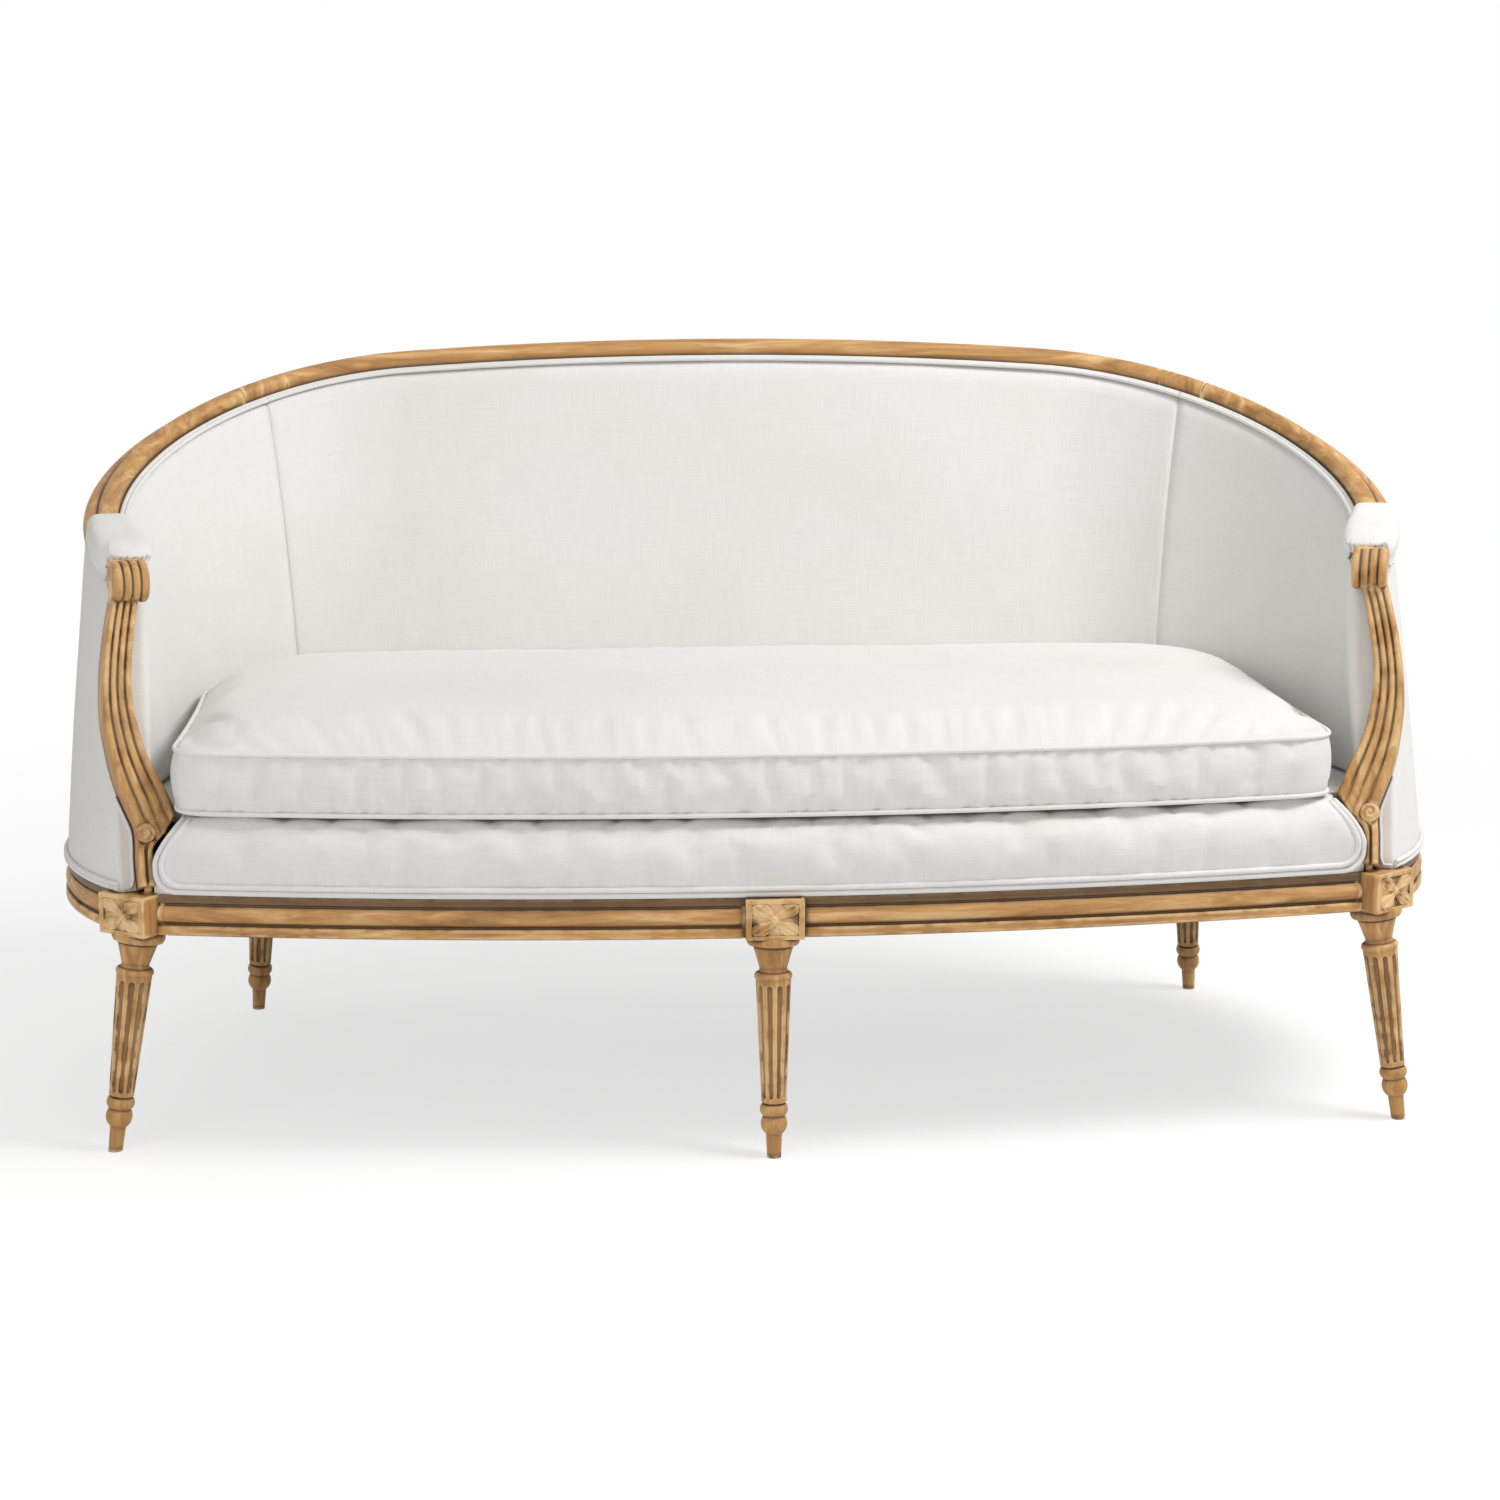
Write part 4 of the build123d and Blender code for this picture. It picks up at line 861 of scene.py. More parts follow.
def sides(name):
    """Left and right names of a paired node."""
    return [name + "_left", name + "_right"]


JUTE = ((0.42, 0.30, 0.16, 1), (0.24, 0.16, 0.08, 1), 350.0)
DUST_CLOTH = ((0.055, 0.055, 0.055, 1), (0.03, 0.03, 0.03, 1), 900.0)


class SOFA_OT_timber(bpy.types.Operator):
    """Gives the turned and moulded frame its waxed finish, and the hidden layers theirs"""

    bl_idname = "sofa.timber"
    bl_label = "Frame finishes"

    def execute(self, context):
        # The long and side rails carry the painted shadow band under the deck.
        long_rail = waxed_wood("Waxed beech long rail", GRAIN_ALONG, painted_shadow_band=True)
        side_rail = waxed_wood("Waxed beech side rail", GRAIN_BACK, painted_shadow_band=True)
        finishes = {
            waxed_wood(*UPRIGHT): ["front_leg_centre", *sides("front_leg"), *sides("back_leg")],
            waxed_wood("Waxed beech lengthwise", GRAIN_ALONG): [
                "back_lower_rail", "corner_blocks", "frame_dowels",
            ],
            waxed_wood("Waxed beech front to back", GRAIN_BACK): [
                *sides("side_lower_rail"), "seat_stretcher",
            ],
            long_rail: [*sides("front_rail"), "back_rail"],
            side_rail: sides("side_rail"),
            wood_rail("Waxed beech crest rail", GRAIN_ALONG): ["crest_rail"],
            wood_rail("Waxed beech arm rail", GRAIN_BACK): sides("arm_rail"),
            coarse_cloth("Jute", *JUTE): ["seat_webbing", "back_webbing", "spring_burlap"],
            coarse_cloth("Dust cloth", *DUST_CLOTH): ["dust_cover"],
            spring_steel(): ["seat_springs"],
        }
        for material, names in finishes.items():
            for name in names:
                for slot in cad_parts[name].material_slots:
                    slot.material = material
        return {"FINISHED"}


# Arm supports: outlines as offsets from the middle line, by share of the climb, in millimetres.
SUPPORT_OUTER = (
    (0.0, 12), (0.10, 12), (0.15, 11), (0.19, 12), (0.24, 19), (0.32, 30), (0.42, 38), (0.55, 43),
    (0.70, 39), (0.83, 30), (0.95, 19), (1.0, 17),
)
SUPPORT_INNER = (
    (0.0, -6), (0.08, -6), (0.12, -8), (0.17, -25), (0.225, -38), (0.26, -34), (0.30, -28),
    (0.36, -17), (0.425, -7), (0.49, -1), (0.55, 3), (0.62, 5), (0.68, 3.5), (0.78, -2), (0.876, -9),
    (0.95, -15), (1.0, -17),
)
# The reeds follow the same outlines above the foot, and run straight on below it.
REED_INNER = ((0.0, -80), (0.12, -57), *SUPPORT_INNER[4:])
REED_OUTER = ((0.0, -14), (0.15, 6), *SUPPORT_OUTER[4:])
SUPPORT_FOOT_DEPTH = 0.033
SUPPORT_LEAN = 0.011
VOLUTE_AT = (0.165, 0.002)
VOLUTE_RADIUS = 0.0125


def support_middle(share):
    """Depth in the wall of the support's middle line."""
    return SUPPORT_FOOT_DEPTH - SUPPORT_LEAN * share


def support_point(share, offset, forward):
    """Point of the right arm support: offset outward from its middle line, forward of its back."""
    return wall_point(ARM_END_SEAT, share, support_middle(share) - offset) + arm_facing() * forward


def reed(share):
    """Height of the reeds across a face, 0 in a flute and 1 on a reed; share runs over the face."""
    count = carving().reeds
    if share <= 0 or share >= 1:
        return 0.0
    across = 2 * (share * count % 1.0) - 1
    return math.sqrt(max(0.0, 1 - across * across))


def support_rows():
    """Loops up the arm support: reeded face, sides and back."""
    across = 44
    height = carving().reed_height
    rows = []
    for share in spread(0.0, 0.985, 120):
        inner = along_line(SUPPORT_INNER, share) / 1000
        outer = along_line(SUPPORT_OUTER, share) / 1000
        reed_in = along_line(REED_INNER, share) / 1000
        reed_out = along_line(REED_OUTER, share) / 1000
        carved = blend(0.10, 0.16, share)
        row = []
        for step in spread(0.0, 1.0, across):
            offset = inner + (outer - inner) * step
            edge = min(step, 1 - step) * (outer - inner)
            rounded = 0.0025 * (1 - min(1.0, edge / 0.0025)) ** 2
            reeds = reed((offset - reed_in) / (reed_out - reed_in))
            groove = math.exp(-((step - 0.5) / 0.09) ** 2)
            relief = carved * (reeds - 1) * height - (1 - carved) * groove * 0.004
            row.append(support_point(share, offset, SUPPORT_DEPTH + relief - rounded))
        row.append(support_point(share, outer, 0.6 * SUPPORT_DEPTH))
        row.append(support_point(share, outer, 0.0))
        row.append(support_point(share, inner, 0.0))
        row.append(support_point(share, inner, 0.6 * SUPPORT_DEPTH))
        rows.append(row)
    return rows


def scroll_rows():
    """Loops across the rolled head of the arm support, reeded round the roll."""
    up = wall_up(ARM_END_SEAT)
    out = wall_out(ARM_END_SEAT)
    facing = arm_facing()
    middle = support_point(1, 0.0, SCROLL_RADIUS + 0.0002) - up * SCROLL_DROP
    half = TOP_RAIL_WIDTH / 2
    height = carving().reed_height
    rows = []
    for step in spread(-1.0, 1.0, 64):
        radius = SCROLL_RADIUS - height + height * reed((step + 1) / 2)
        if abs(step) >= 0.999:
            radius = SCROLL_RADIUS - height
        rows.append([
            middle + out * half * step
            + facing * radius * math.cos(turn) + up * radius * math.sin(turn)
            for turn in (math.tau * part / 48 for part in range(48))
        ])
    return rows


def scroll_cap_rows():
    """Loops of the thin moulded plate on top of the rolled head, under the arm pad."""
    up = wall_up(ARM_END_SEAT)
    out = wall_out(ARM_END_SEAT)
    facing = arm_facing()
    seat = support_point(1, 0.0, 0.6 * SCROLL_RADIUS) + up * (SCROLL_RADIUS - SCROLL_DROP - 0.0035)
    rows = []
    for rise, grow in ((0.0, -0.002), (0.0008, 0.0), (0.0032, 0.0), (0.0042, -0.0016)):
        rows.append([
            seat + up * rise + out * (TOP_RAIL_WIDTH / 2 + grow) * power(math.cos(turn), 0.4)
            + facing * (0.6 * SCROLL_RADIUS + grow) * power(math.sin(turn), 0.4)
            for turn in (math.tau * part / 60 for part in range(60))
        ])
    return rows


def volute_rows():
    """Rings of the small spiral at the outer foot of the support's curve."""
    radius = VOLUTE_RADIUS
    rows = []
    for ring in spread(1.0, 0.0, 22):
        row = []
        for part in range(48):
            turn = math.tau * part / 48
            spiral = 0.5 + 0.5 * math.cos(math.tau * (1.6 * ring) - turn)
            lift = 0.0008 + 0.0030 * (1 - ring ** 6) * (0.35 + 0.65 * spiral)
            if ring < 0.22:
                lift = max(lift, 0.0036 * math.cos(ring / 0.22 * math.pi / 3))
            if ring > 0.97:
                lift = -0.004
            offset = VOLUTE_AT[1] + radius * ring * math.cos(turn)
            climb = radius * ring * math.sin(turn)
            row.append(
                support_point(VOLUTE_AT[0], offset, SUPPORT_DEPTH + lift) + wall_up(ARM_END_SEAT) * climb
            )
        rows.append(row)
    return rows


def flipped(rows):
    """The same rows on the other side of the sofa."""
    return [[mirrored(point) for point in row] for row in rows]


def both_sides(shells):
    """The right-hand shells of a paired piece, and the same on the left."""
    return (("right", shells), ("left", [flipped(rows) for rows in shells]))


def lay(name, shells):
    """Closed piece of cover on the frame, which stands for the node of that name."""
    piece = skin(name + "_soft", [(rows, True) for rows in shells])
    return dress(piece, "frame", cover_fabric(), "cover_fabric", name)


class SOFA_OT_arm_supports(bpy.types.Operator):
    """Carves the two arm supports: reeded S curve, rolled head, volute and post"""

    bl_idname = "sofa.arm_supports"
    bl_label = "Arm supports"

    def execute(self, context):
        carved = [support_rows(), scroll_rows(), scroll_cap_rows(), volute_rows()]
        for side, shells in both_sides(carved):
            piece = skin("arm_support_carved_" + side, [(rows, True) for rows in shells])
            dress(piece, "frame", waxed_wood(*UPRIGHT), "show_wood", "arm_support_" + side)
        return {"FINISHED"}


def rosette_rows(place_at, across, facing):
    """Carved panel of a leg block: four leaves crossing under a button on a sunk ground."""
    half_width = BLOCK_WIDTH / 2 - 0.007
    half_height = RAIL_HEIGHT / 2 - 0.005
    ground = 0.0003
    rows = []
    for y in spread(-1.0, 1.0, 60):
        row = []
        for x in spread(-1.0, 1.0, 84):
            px = x * half_width
            py = y * half_height
            reach = math.hypot(px / half_width, py / half_height)
            slope = abs(math.atan2(abs(py) / half_height, abs(px) / half_width) - math.pi / 4)
            broad = 0.56 * math.sin(math.pi * min(1.0, reach / 1.32)) ** 0.6 if reach < 1.32 else 0.0
            inside = 1 - blend(0.82 * broad, broad + 0.02, slope)
            vein = math.exp(-(slope / 0.06) ** 2)
            ribs = 0.5 + 0.5 * math.cos(slope * 26 + reach * 9)
            leaf = inside * carving().leaf_height * (0.80 + 0.2 * ribs - 0.22 * vein)
            button_reach = math.hypot(px, py) / 0.0062
            button = 0.0052 * math.sqrt(max(0.0, 1 - button_reach ** 2)) if button_reach < 1 else 0
            lift = max(ground + leaf, button + ground)
            edge = min(1 - abs(x), 1 - abs(y))
            if edge < 0.001:
                lift = 0.0
            row.append(
                place_at + across * px + UP * (LEG_HEIGHT + RAIL_HEIGHT / 2 + py)
                + facing * (BLOCK_DEPTH / 2 - 0.003 + lift)
            )
        rows.append(row)
    return rows


class SOFA_OT_rosettes(bpy.types.Operator):
    """Carves the leaf panels on the three front leg blocks"""

    bl_idname = "sofa.rosettes"
    bl_label = "Rosettes"

    def execute(self, context):
        wood = waxed_wood("Waxed beech carved", GRAIN_UP, CARVED_REACH)
        corner_out = compass(CORNER_FACE_ANGLE)
        corner = ring_corner() + corner_out * (BLOCK_PROUD - 0.004 - BLOCK_DEPTH / 2)
        centre = Vector((0, FRONT_FACE - BLOCK_PROUD + BLOCK_DEPTH / 2, 0))
        middle = rosette_rows(centre, Vector((1, 0, 0)), Vector((0, -1, 0)))
        right = rosette_rows(corner, UP.cross(corner_out), corner_out)
        for side, shells in (("centre", [middle]), *both_sides([right])):
            dress(skin("rosette_" + side, [(rows, False) for rows in shells]), "frame", wood, "show_wood")
        return {"FINISHED"}


CUSHION_SHIFT = -0.008
CUSHION_WAIST = 0.004
CUSHION_CORNER = 0.05
CUSHION_SIDE_ANGLE = 30
CUSHION_SMOOTHING = 60


def cushion_loop():
    """Closed outline of the cushion at its seams, from the middle of the front round, and its corner."""
    right = [front_point(x, CUSHION_FRONT_INSET) for x in spread(0.0, CUSHION_HALF_WIDTH, 90)]
    corner = right[-1]
    side = pad_foot(CUSHION_SIDE_ANGLE, CUSHION_CLEARANCE)
    middle = (corner + side) / 2
    waist = middle - Vector((CUSHION_WAIST, 0, 0))
    for step in spread(0.0, 1.0, 40)[1:]:
        bend = 4 * step * (1 - step)
        right.append(corner.lerp(side, step) + (waist - middle) * bend)
    for angle in spread(CUSHION_SIDE_ANGLE, 90, 110)[1:]:
        right.append(pad_foot(angle, CUSHION_CLEARANCE))
    left = [mirrored(point) for point in right[-2:0:-1]]
    loop = resampled(right + left + [right[0]], 1000)[:-1]
    rounded = [
        max(0.0, *(1 - (point - end).length / CUSHION_CORNER for end in (corner, mirrored(corner))))
        for point in loop
    ]
    for sweep in range(CUSHION_SMOOTHING):
        loop = [
            point.lerp((loop[index - 1] + loop[(index + 1) % len(loop)]) / 2, 0.9 * min(1.0, 2 * keep))
            for index, (point, keep) in enumerate(zip(loop, rounded))
        ]
    return loop, corner


def cushion_sides():
    """Front, right, back and left lines of the cushion's outline, front and back left to right."""
    loop, corner = cushion_loop()
    shoulder = pad_foot(50, CUSHION_CLEARANCE)

    def nearest(point):
        """Index of the outline's point nearest to this one."""
        return min(range(len(loop)), key=lambda index: (loop[index] - point).length)

    def run(start, end):
        """Points of the outline from one index on to another."""
        if end < start:
            end += len(loop)
        return [loop[index % len(loop)] for index in range(start, end + 1)]

    front_right = nearest(corner)
    back_right = nearest(shoulder)
    back_left = nearest(mirrored(shoulder))
    front_left = nearest(mirrored(corner))
    front = resampled(run(front_left, front_right), 180)
    right = resampled(run(front_right, back_right), 72)
    back = resampled(run(back_right, back_left), 180)[::-1]
    left = resampled(run(back_left, front_left), 72)[::-1]
    shift = Vector((CUSHION_SHIFT, 0, 0))
    return tuple([point + shift for point in line] for line in (front, right, back, left))


def filled(front, right, back, left):
    """Grid of plan points between four lines, as a smooth patch."""
    rows = []
    wide = len(front) - 1
    deep = len(right) - 1
    for j in range(deep + 1):
        v = j / deep
        row = []
        for i in range(wide + 1):
            u = i / wide
            ruled = front[i].lerp(back[i], v) + left[j].lerp(right[j], u)
            corners = front[0].lerp(front[-1], u).lerp(back[0].lerp(back[-1], u), v)
            row.append(ruled - corners)
        rows.append(row)
    return rows


def swell(share, reach):
    """Rise of a stuffed cover from its seam: steep at first, flat after the reach."""
    left = 1 - min(1.0, share / reach)
    return 1 - left ** 2.6


def rim_outward(rim, index):
    """Level direction out of a closed outline at one of its points."""
    ahead = rim[(index + 1) % len(rim)] - rim[index - 1]
    return Vector((ahead.y, -ahead.x, 0)).normalized()


def cushion_shells():
    """Top, border and bottom of the cushion, and the outline of its seams."""
    front, right, back, left = cushion_sides()
    plan = filled(front, right, back, left)
    deep = len(plan) - 1
    wide = len(plan[0]) - 1
    crown = upholstery().crown
    top = []
    bottom = []
    for j, row in enumerate(plan):
        v = 1 - abs(2 * j / deep - 1)
        over = []
        under = []
        for i, point in enumerate(row):
            u = 1 - abs(2 * i / wide - 1)
            rise = swell(u, 0.26) * swell(v, 0.62)
            soft = grain(point, 0.16) * 0.0022 + grain(point, 0.05, 7) * 0.0007
            over.append(point + UP * (CUSHION_HIGH + crown * rise + soft * min(1.0, 4 * rise)))
            tuck = swell(u, 0.05) * swell(v, 0.12)
            under.append(point + UP * (CUSHION_LOW - (CUSHION_LOW - CUSHION_BASE) * tuck))
        top.append(over)
        bottom.append(under)
    rim = front[:-1] + right[:-1] + back[:0:-1] + left[:0:-1]
    border = []
    for height in spread(0.0, 1.0, 14):
        row = []
        for index, point in enumerate(rim):
            swelled = upholstery().border_bulge * math.sin(math.pi * height) ** 0.7
            soft = grain(point + UP * height * 0.07, 0.045, 3) * 0.0012 * math.sin(math.pi * height)
            row.append(
                point + rim_outward(rim, index) * (swelled + soft)
                + UP * (CUSHION_LOW + (CUSHION_HIGH - CUSHION_LOW) * height)
            )
        border.append([*row, row[0]])
    return top, border, bottom, rim


class SOFA_OT_seat_cushion(bpy.types.Operator):
    """Makes the long loose cushion with its two welts"""

    bl_idname = "sofa.seat_cushion"
    bl_label = "Seat cushion"

    def execute(self, context):
        top, border, bottom, rim = cushion_shells()
        cushion = skin("cushion_soft", [(top, False), (border, False), (bottom, False)])
        held = [
            vertex.index for vertex in cushion.data.vertices
            if abs(vertex.co.z - CUSHION_HIGH) < 0.0001 or vertex.co.z < CUSHION_LOW + 0.0001
        ]
        settle(cushion, held, pressure=4.0, slack=0.030, most=0.016)
        dress(cushion, "cushion", cover_fabric(), "cover_fabric", "seat_cushion")
        radius = upholstery().welt_radius
        for name, height in (("lower", CUSHION_LOW), ("upper", CUSHION_HIGH)):
            path = [
                point + rim_outward(rim, index) * (radius * 0.9) + UP * height
                for index, point in enumerate(rim)
            ]
            welt = skin("cushion_welt_soft_" + name, [(ring_tube(path, radius), True)])
            dress(welt, "cushion", cover_fabric(), "cover_fabric", "cushion_welt_" + name)
        return {"FINISHED"}


DECK_EDGE = 0.757
DECK_EDGE_DRAW = 0.036
DECK_DRAW_FROM = 0.039
DECK_END_ROUND = 0.022
DECK_END_TURN = 0.005
DECK_TOP_TURN = 0.037
DECK_BELLY = 0.006
# The top widens behind the lip: by how much, its share at once, and the run that it takes.
DECK_WIDEN = 0.085
DECK_WIDEN_FIRST = 0.43
DECK_WIDEN_RUN = 0.069
DECK_SHARP = math.radians(50)
DECK_WELT_BEND = 0.024
DECK_HELD_BEHIND = 0.030


def deck_draw(height):
    """Share of the way from where the deck starts to draw in up to its top."""
    start = DECK_BASE + DECK_DRAW_FROM
    return min(1.0, max(0.0, (height - start) / (DECK_TOP - start)))


def deck_edge(height):
    """Half length of the deck at a height: it draws in under the foot of the arm supports."""
    return DECK_EDGE - DECK_EDGE_DRAW * deck_draw(height) ** 1.5


def deck_front(x, height):
    """Plan point of the padded deck front at one X and height, rolled over at the top."""
    spare = abs(x) - (deck_edge(height) - DECK_END_ROUND)
    turned = 0.0
    if spare > 0:
        share = min(1.0, spare / DECK_END_ROUND)
        depth = DECK_END_TURN + (DECK_TOP_TURN - DECK_END_TURN) * deck_draw(height)
        turned = depth * (1 - math.sqrt(1 - share ** 2))
    belly = DECK_BELLY * math.sin(math.pi * min(1.0, max(0.0, (height - DECK_BASE) / DECK_HEIGHT)))
    over = height - (DECK_TOP - DECK_ROLL)
    rolled = DECK_ROLL - math.sqrt(max(0.0, DECK_ROLL ** 2 - over ** 2)) if over > 0 else 0.0
    return front_point(x, DECK_FRONT_INSET) + Vector((0, turned - belly + rolled, height))


def deck_end(row):
    """End loop of the deck: all its points drawn together at one point inside the padding."""
    return [row[-2] + Vector((0, -0.010, -0.006))] * len(row)


def deck_rows():
    """Loops across the deck: padded front, roll, top and hollow underside."""
    rows = []
    under = DECK_TOP - DECK_TOP_THICK + 0.002
    heights = spread(DECK_BASE, DECK_TOP - DECK_ROLL, 10)
    for turn in spread(0.0, 90.0, 10)[1:]:
        heights.append(DECK_TOP - DECK_ROLL + DECK_ROLL * math.sin(math.radians(turn)))
    for u in spread(-1.0, 1.0, 150):
        row = []
        for height in heights:
            point = deck_front(u * deck_edge(height), height)
            soft = grain(point, 0.05, 4) * 0.0010 + grain(point, 0.14, 6) * 0.0012
            row.append(point - Vector((0, soft * min(1.0, (height - DECK_BASE) / 0.012), 0)))
        lip = row[-1]
        start = front_point(lip.x, DECK_FRONT_INSET).y + DECK_ROLL + DECK_TOP_TURN + 0.006
        for step in spread(0.0, 1.0, 6):
            share = DECK_WIDEN_FIRST + (1 - DECK_WIDEN_FIRST) * step ** 0.6
            wider = DECK_WIDEN * share * blend(0.985 - 0.185 * step, 1.0, abs(u))
            behind = start + DECK_WIDEN_RUN * step
            row.append(Vector((lip.x + math.copysign(wider, u), behind, DECK_TOP)))
        near = row[-1]
        rear = ring_point(SEAT_RING, 90 - 100 * u, DECK_RING_INSET) + UP * DECK_TOP
        for step in spread(0.0, 1.0, 16)[1:]:
            row.append(near.lerp(rear, step))
        row.append(rear + UP * (under - DECK_TOP))
        row.append(Vector((lip.x, lip.y + 0.045, under)))
        row.append(Vector((lip.x, lip.y + 0.030, DECK_BASE)))
        rows.append(row)
    return [deck_end(rows[0]), *rows, deck_end(rows[-1])]


def deck_welt_path(spare):
    """Line of one cord of the deck welt: up both sides and along the foot, spare from the edge."""
    bend = DECK_WELT_BEND
    base = DECK_BASE + spare
    edge = DECK_EDGE - spare
    line = []
    for height in spread(DECK_TOP - 0.003, base + bend, 22):
        line.append((deck_edge(height) - spare, height))
    for turn in spread(0.0, 90.0, 10)[1:]:
        angle = math.radians(turn)
        line.append((edge - bend + bend * math.cos(angle), base + bend - bend * math.sin(angle)))
    line += [(x, base) for x in spread(edge - bend, 0.0, 60)[1:]]
    right = [deck_front(x, height) + Vector((0, -0.0015, 0)) for x, height in line]
    tucked = [right[0] + Vector((0, back, 0.002 - 0.1 * back)) for back in (0.040, 0.030, 0.020, 0.010)]
    right = tucked + right
    return right + [mirrored(point) for point in right[-2::-1]]


class SOFA_OT_seat_deck(bpy.types.Operator):
    """Makes the padded deck under the cushion, with the double welt round its front"""

    bl_idname = "sofa.seat_deck"
    bl_label = "Seat deck"

    def execute(self, context):
        deck = skin("deck_soft", [(deck_rows(), True)])
        deck.data.set_sharp_from_angle(angle=DECK_SHARP)
        radius = 1.25 * upholstery().welt_radius
        held = []
        for vertex in deck.data.vertices:
            at = vertex.co
            inside = at.y - front_point(at.x, DECK_FRONT_INSET).y > DECK_HELD_BEHIND
            sewn = at.z < DECK_BASE + 4 * radius or abs(at.x) > deck_edge(at.z) - 4 * radius
            if inside or sewn:
                held.append(vertex.index)
        settle(deck, held, pressure=3.0, slack=0.014, most=0.004)
        dress(deck, "frame", cover_fabric(), "cover_fabric", "seat_deck")
        lay("deck_welt", [
            tube(deck_welt_path(spare), radius, reference=Vector((0, 1, 0)))
            for spare in (radius, 3 * radius)
        ])
        return {"FINISHED"}


SEAM_LEAN = 5.0
PAD_END_REACH = 0.060
PAD_THIN = PAD_DEPTH + 0.002
# Length of one degree along the padded face, for distances from its ends.
DEGREE_LENGTH = 0.0074


def pad_end(gap):
    """Share of its full depth that an inside arm has at a distance from its front end."""
    return (1 - (1 - min(1.0, gap / PAD_END_REACH)) ** 2) ** 0.7


def pad_front_rows(count):
    """Loops that carry an inside arm's cover across the front of the arm, behind its support."""
    facing = arm_facing()
    low = wall_share(ARM_END_SEAT, PAD_BASE)
    rows = []
    for across in spread(0.0, 0.9, count):
        row = []
        for v in spread(0.0, 1.0, 40):
            share = low + (0.9995 - low) * v
            edge = support_middle(share) - along_line(SUPPORT_INNER, share) / 1000
            start = min(edge, PAD_DEPTH - 0.002) - 0.004
            depth = start + (PAD_THIN - start) * across
            row.append(wall_point(ARM_END_SEAT, share, depth) + facing * 0.0006)
        row.extend(row[index] - facing * 0.0004 for index in (40, 26, 13, 0))
        rows.append(row)
    return rows


def pad_rows(start, end, count, sewn):
    """Loops along an inside pad: full face, rounded top and flat back; sewn ends draw in."""
    rows = []
    depth_of_seam = upholstery().seam_depth
    lean = [SEAM_LEAN * (1 if edge < 90 else -1) if edge in sewn else 0.0 for edge in (start, end)]
    length = abs(end - start) * DEGREE_LENGTH

    def pad_angle(step, v):
        """Angle of the wall at a share of the pad's length and of its climb."""
        shift = (lean[0] * (1 - step) + lean[1] * step) * (1 - v)
        return start + (end - start) * step + shift

    for step in (part if start in sewn else part ** 1.7 for part in spread(0.0, 1.0, count)):
        row = []
        for v in spread(0.0, 1.0, 40):
            angle = pad_angle(step, v)
            low = wall_share(angle, PAD_BASE)
            share = low + (0.9995 - low) * v
            depth = pad_depth(angle) * (1 - v) + PAD_TOP * v + PAD_BULGE * 4 * v * (1 - v)
            for edge, along in ((start, step), (end, 1 - step)):
                if edge in sewn:
                    depth -= depth_of_seam * math.exp(-along * length / 0.0035)
                else:
                    depth = PAD_THIN + (depth - PAD_THIN) * pad_end(along * length)
            top = max(0.0, (v - 0.965) / 0.035)
            depth -= 0.007 * top ** 2
            bottom = max(0.0, (0.03 - v) / 0.03)
            depth -= 0.010 * bottom ** 2
            point = wall_point(angle, share, depth)
            soft = grain(point, 0.20, 2) * 0.0020 + grain(point, 0.07, 5) * 0.0005
            if start not in sewn:
                soft *= pad_end(step * length)
            row.append(point - wall_out(angle) * soft)
        for v in (1.0, 0.66, 0.33, 0.0):
            angle = pad_angle(step, v)
            low = wall_share(angle, PAD_BASE)
            row.append(wall_point(angle, low + (1 - low) * v, PAD_DEPTH + 0.0005))
        rows.append(row)
    return rows


class SOFA_OT_inside_pads(bpy.types.Operator):
    """Makes the padded inside back and the two inside arms, sewn together at the posts"""

    bl_idname = "sofa.inside_pads"
    bl_label = "Inside back and arms"

    def execute(self, context):
        far = 180 - POST_ANGLE
        arm = pad_front_rows(6) + pad_rows(ARM_END_SEAT, POST_ANGLE, 96, (POST_ANGLE,))
        pads = [lay("inside_back", [pad_rows(POST_ANGLE, far, 160, (POST_ANGLE, far))])]
        for side, shells in both_sides([arm]):
            pads.append(lay("inside_arm_" + side, shells))
        return {"FINISHED"}


ARM_PAD_NOSE = 0.037
ARM_PAD_SPREAD = 0.037
ARM_PAD_SHIFT = -0.008
ARM_PAD_HEM = 0.90
ARM_PAD_GATHERS = 30


def arm_pad_point(along, across, rise):
    """Point over the right arm rail: along is forward of the rail's end, across is outward."""
    middle = TOP_RAIL_WIDTH / 2
    end = rail_point(ARM_END_SEAT, middle, 0)
    step = end - rail_point(ARM_END_SEAT + 1, middle, 0)
    angle = ARM_END_SEAT + max(0.0, -along) / step.length
    return rail_point(angle, middle - across, rise) + step.normalized() * max(0.0, along)


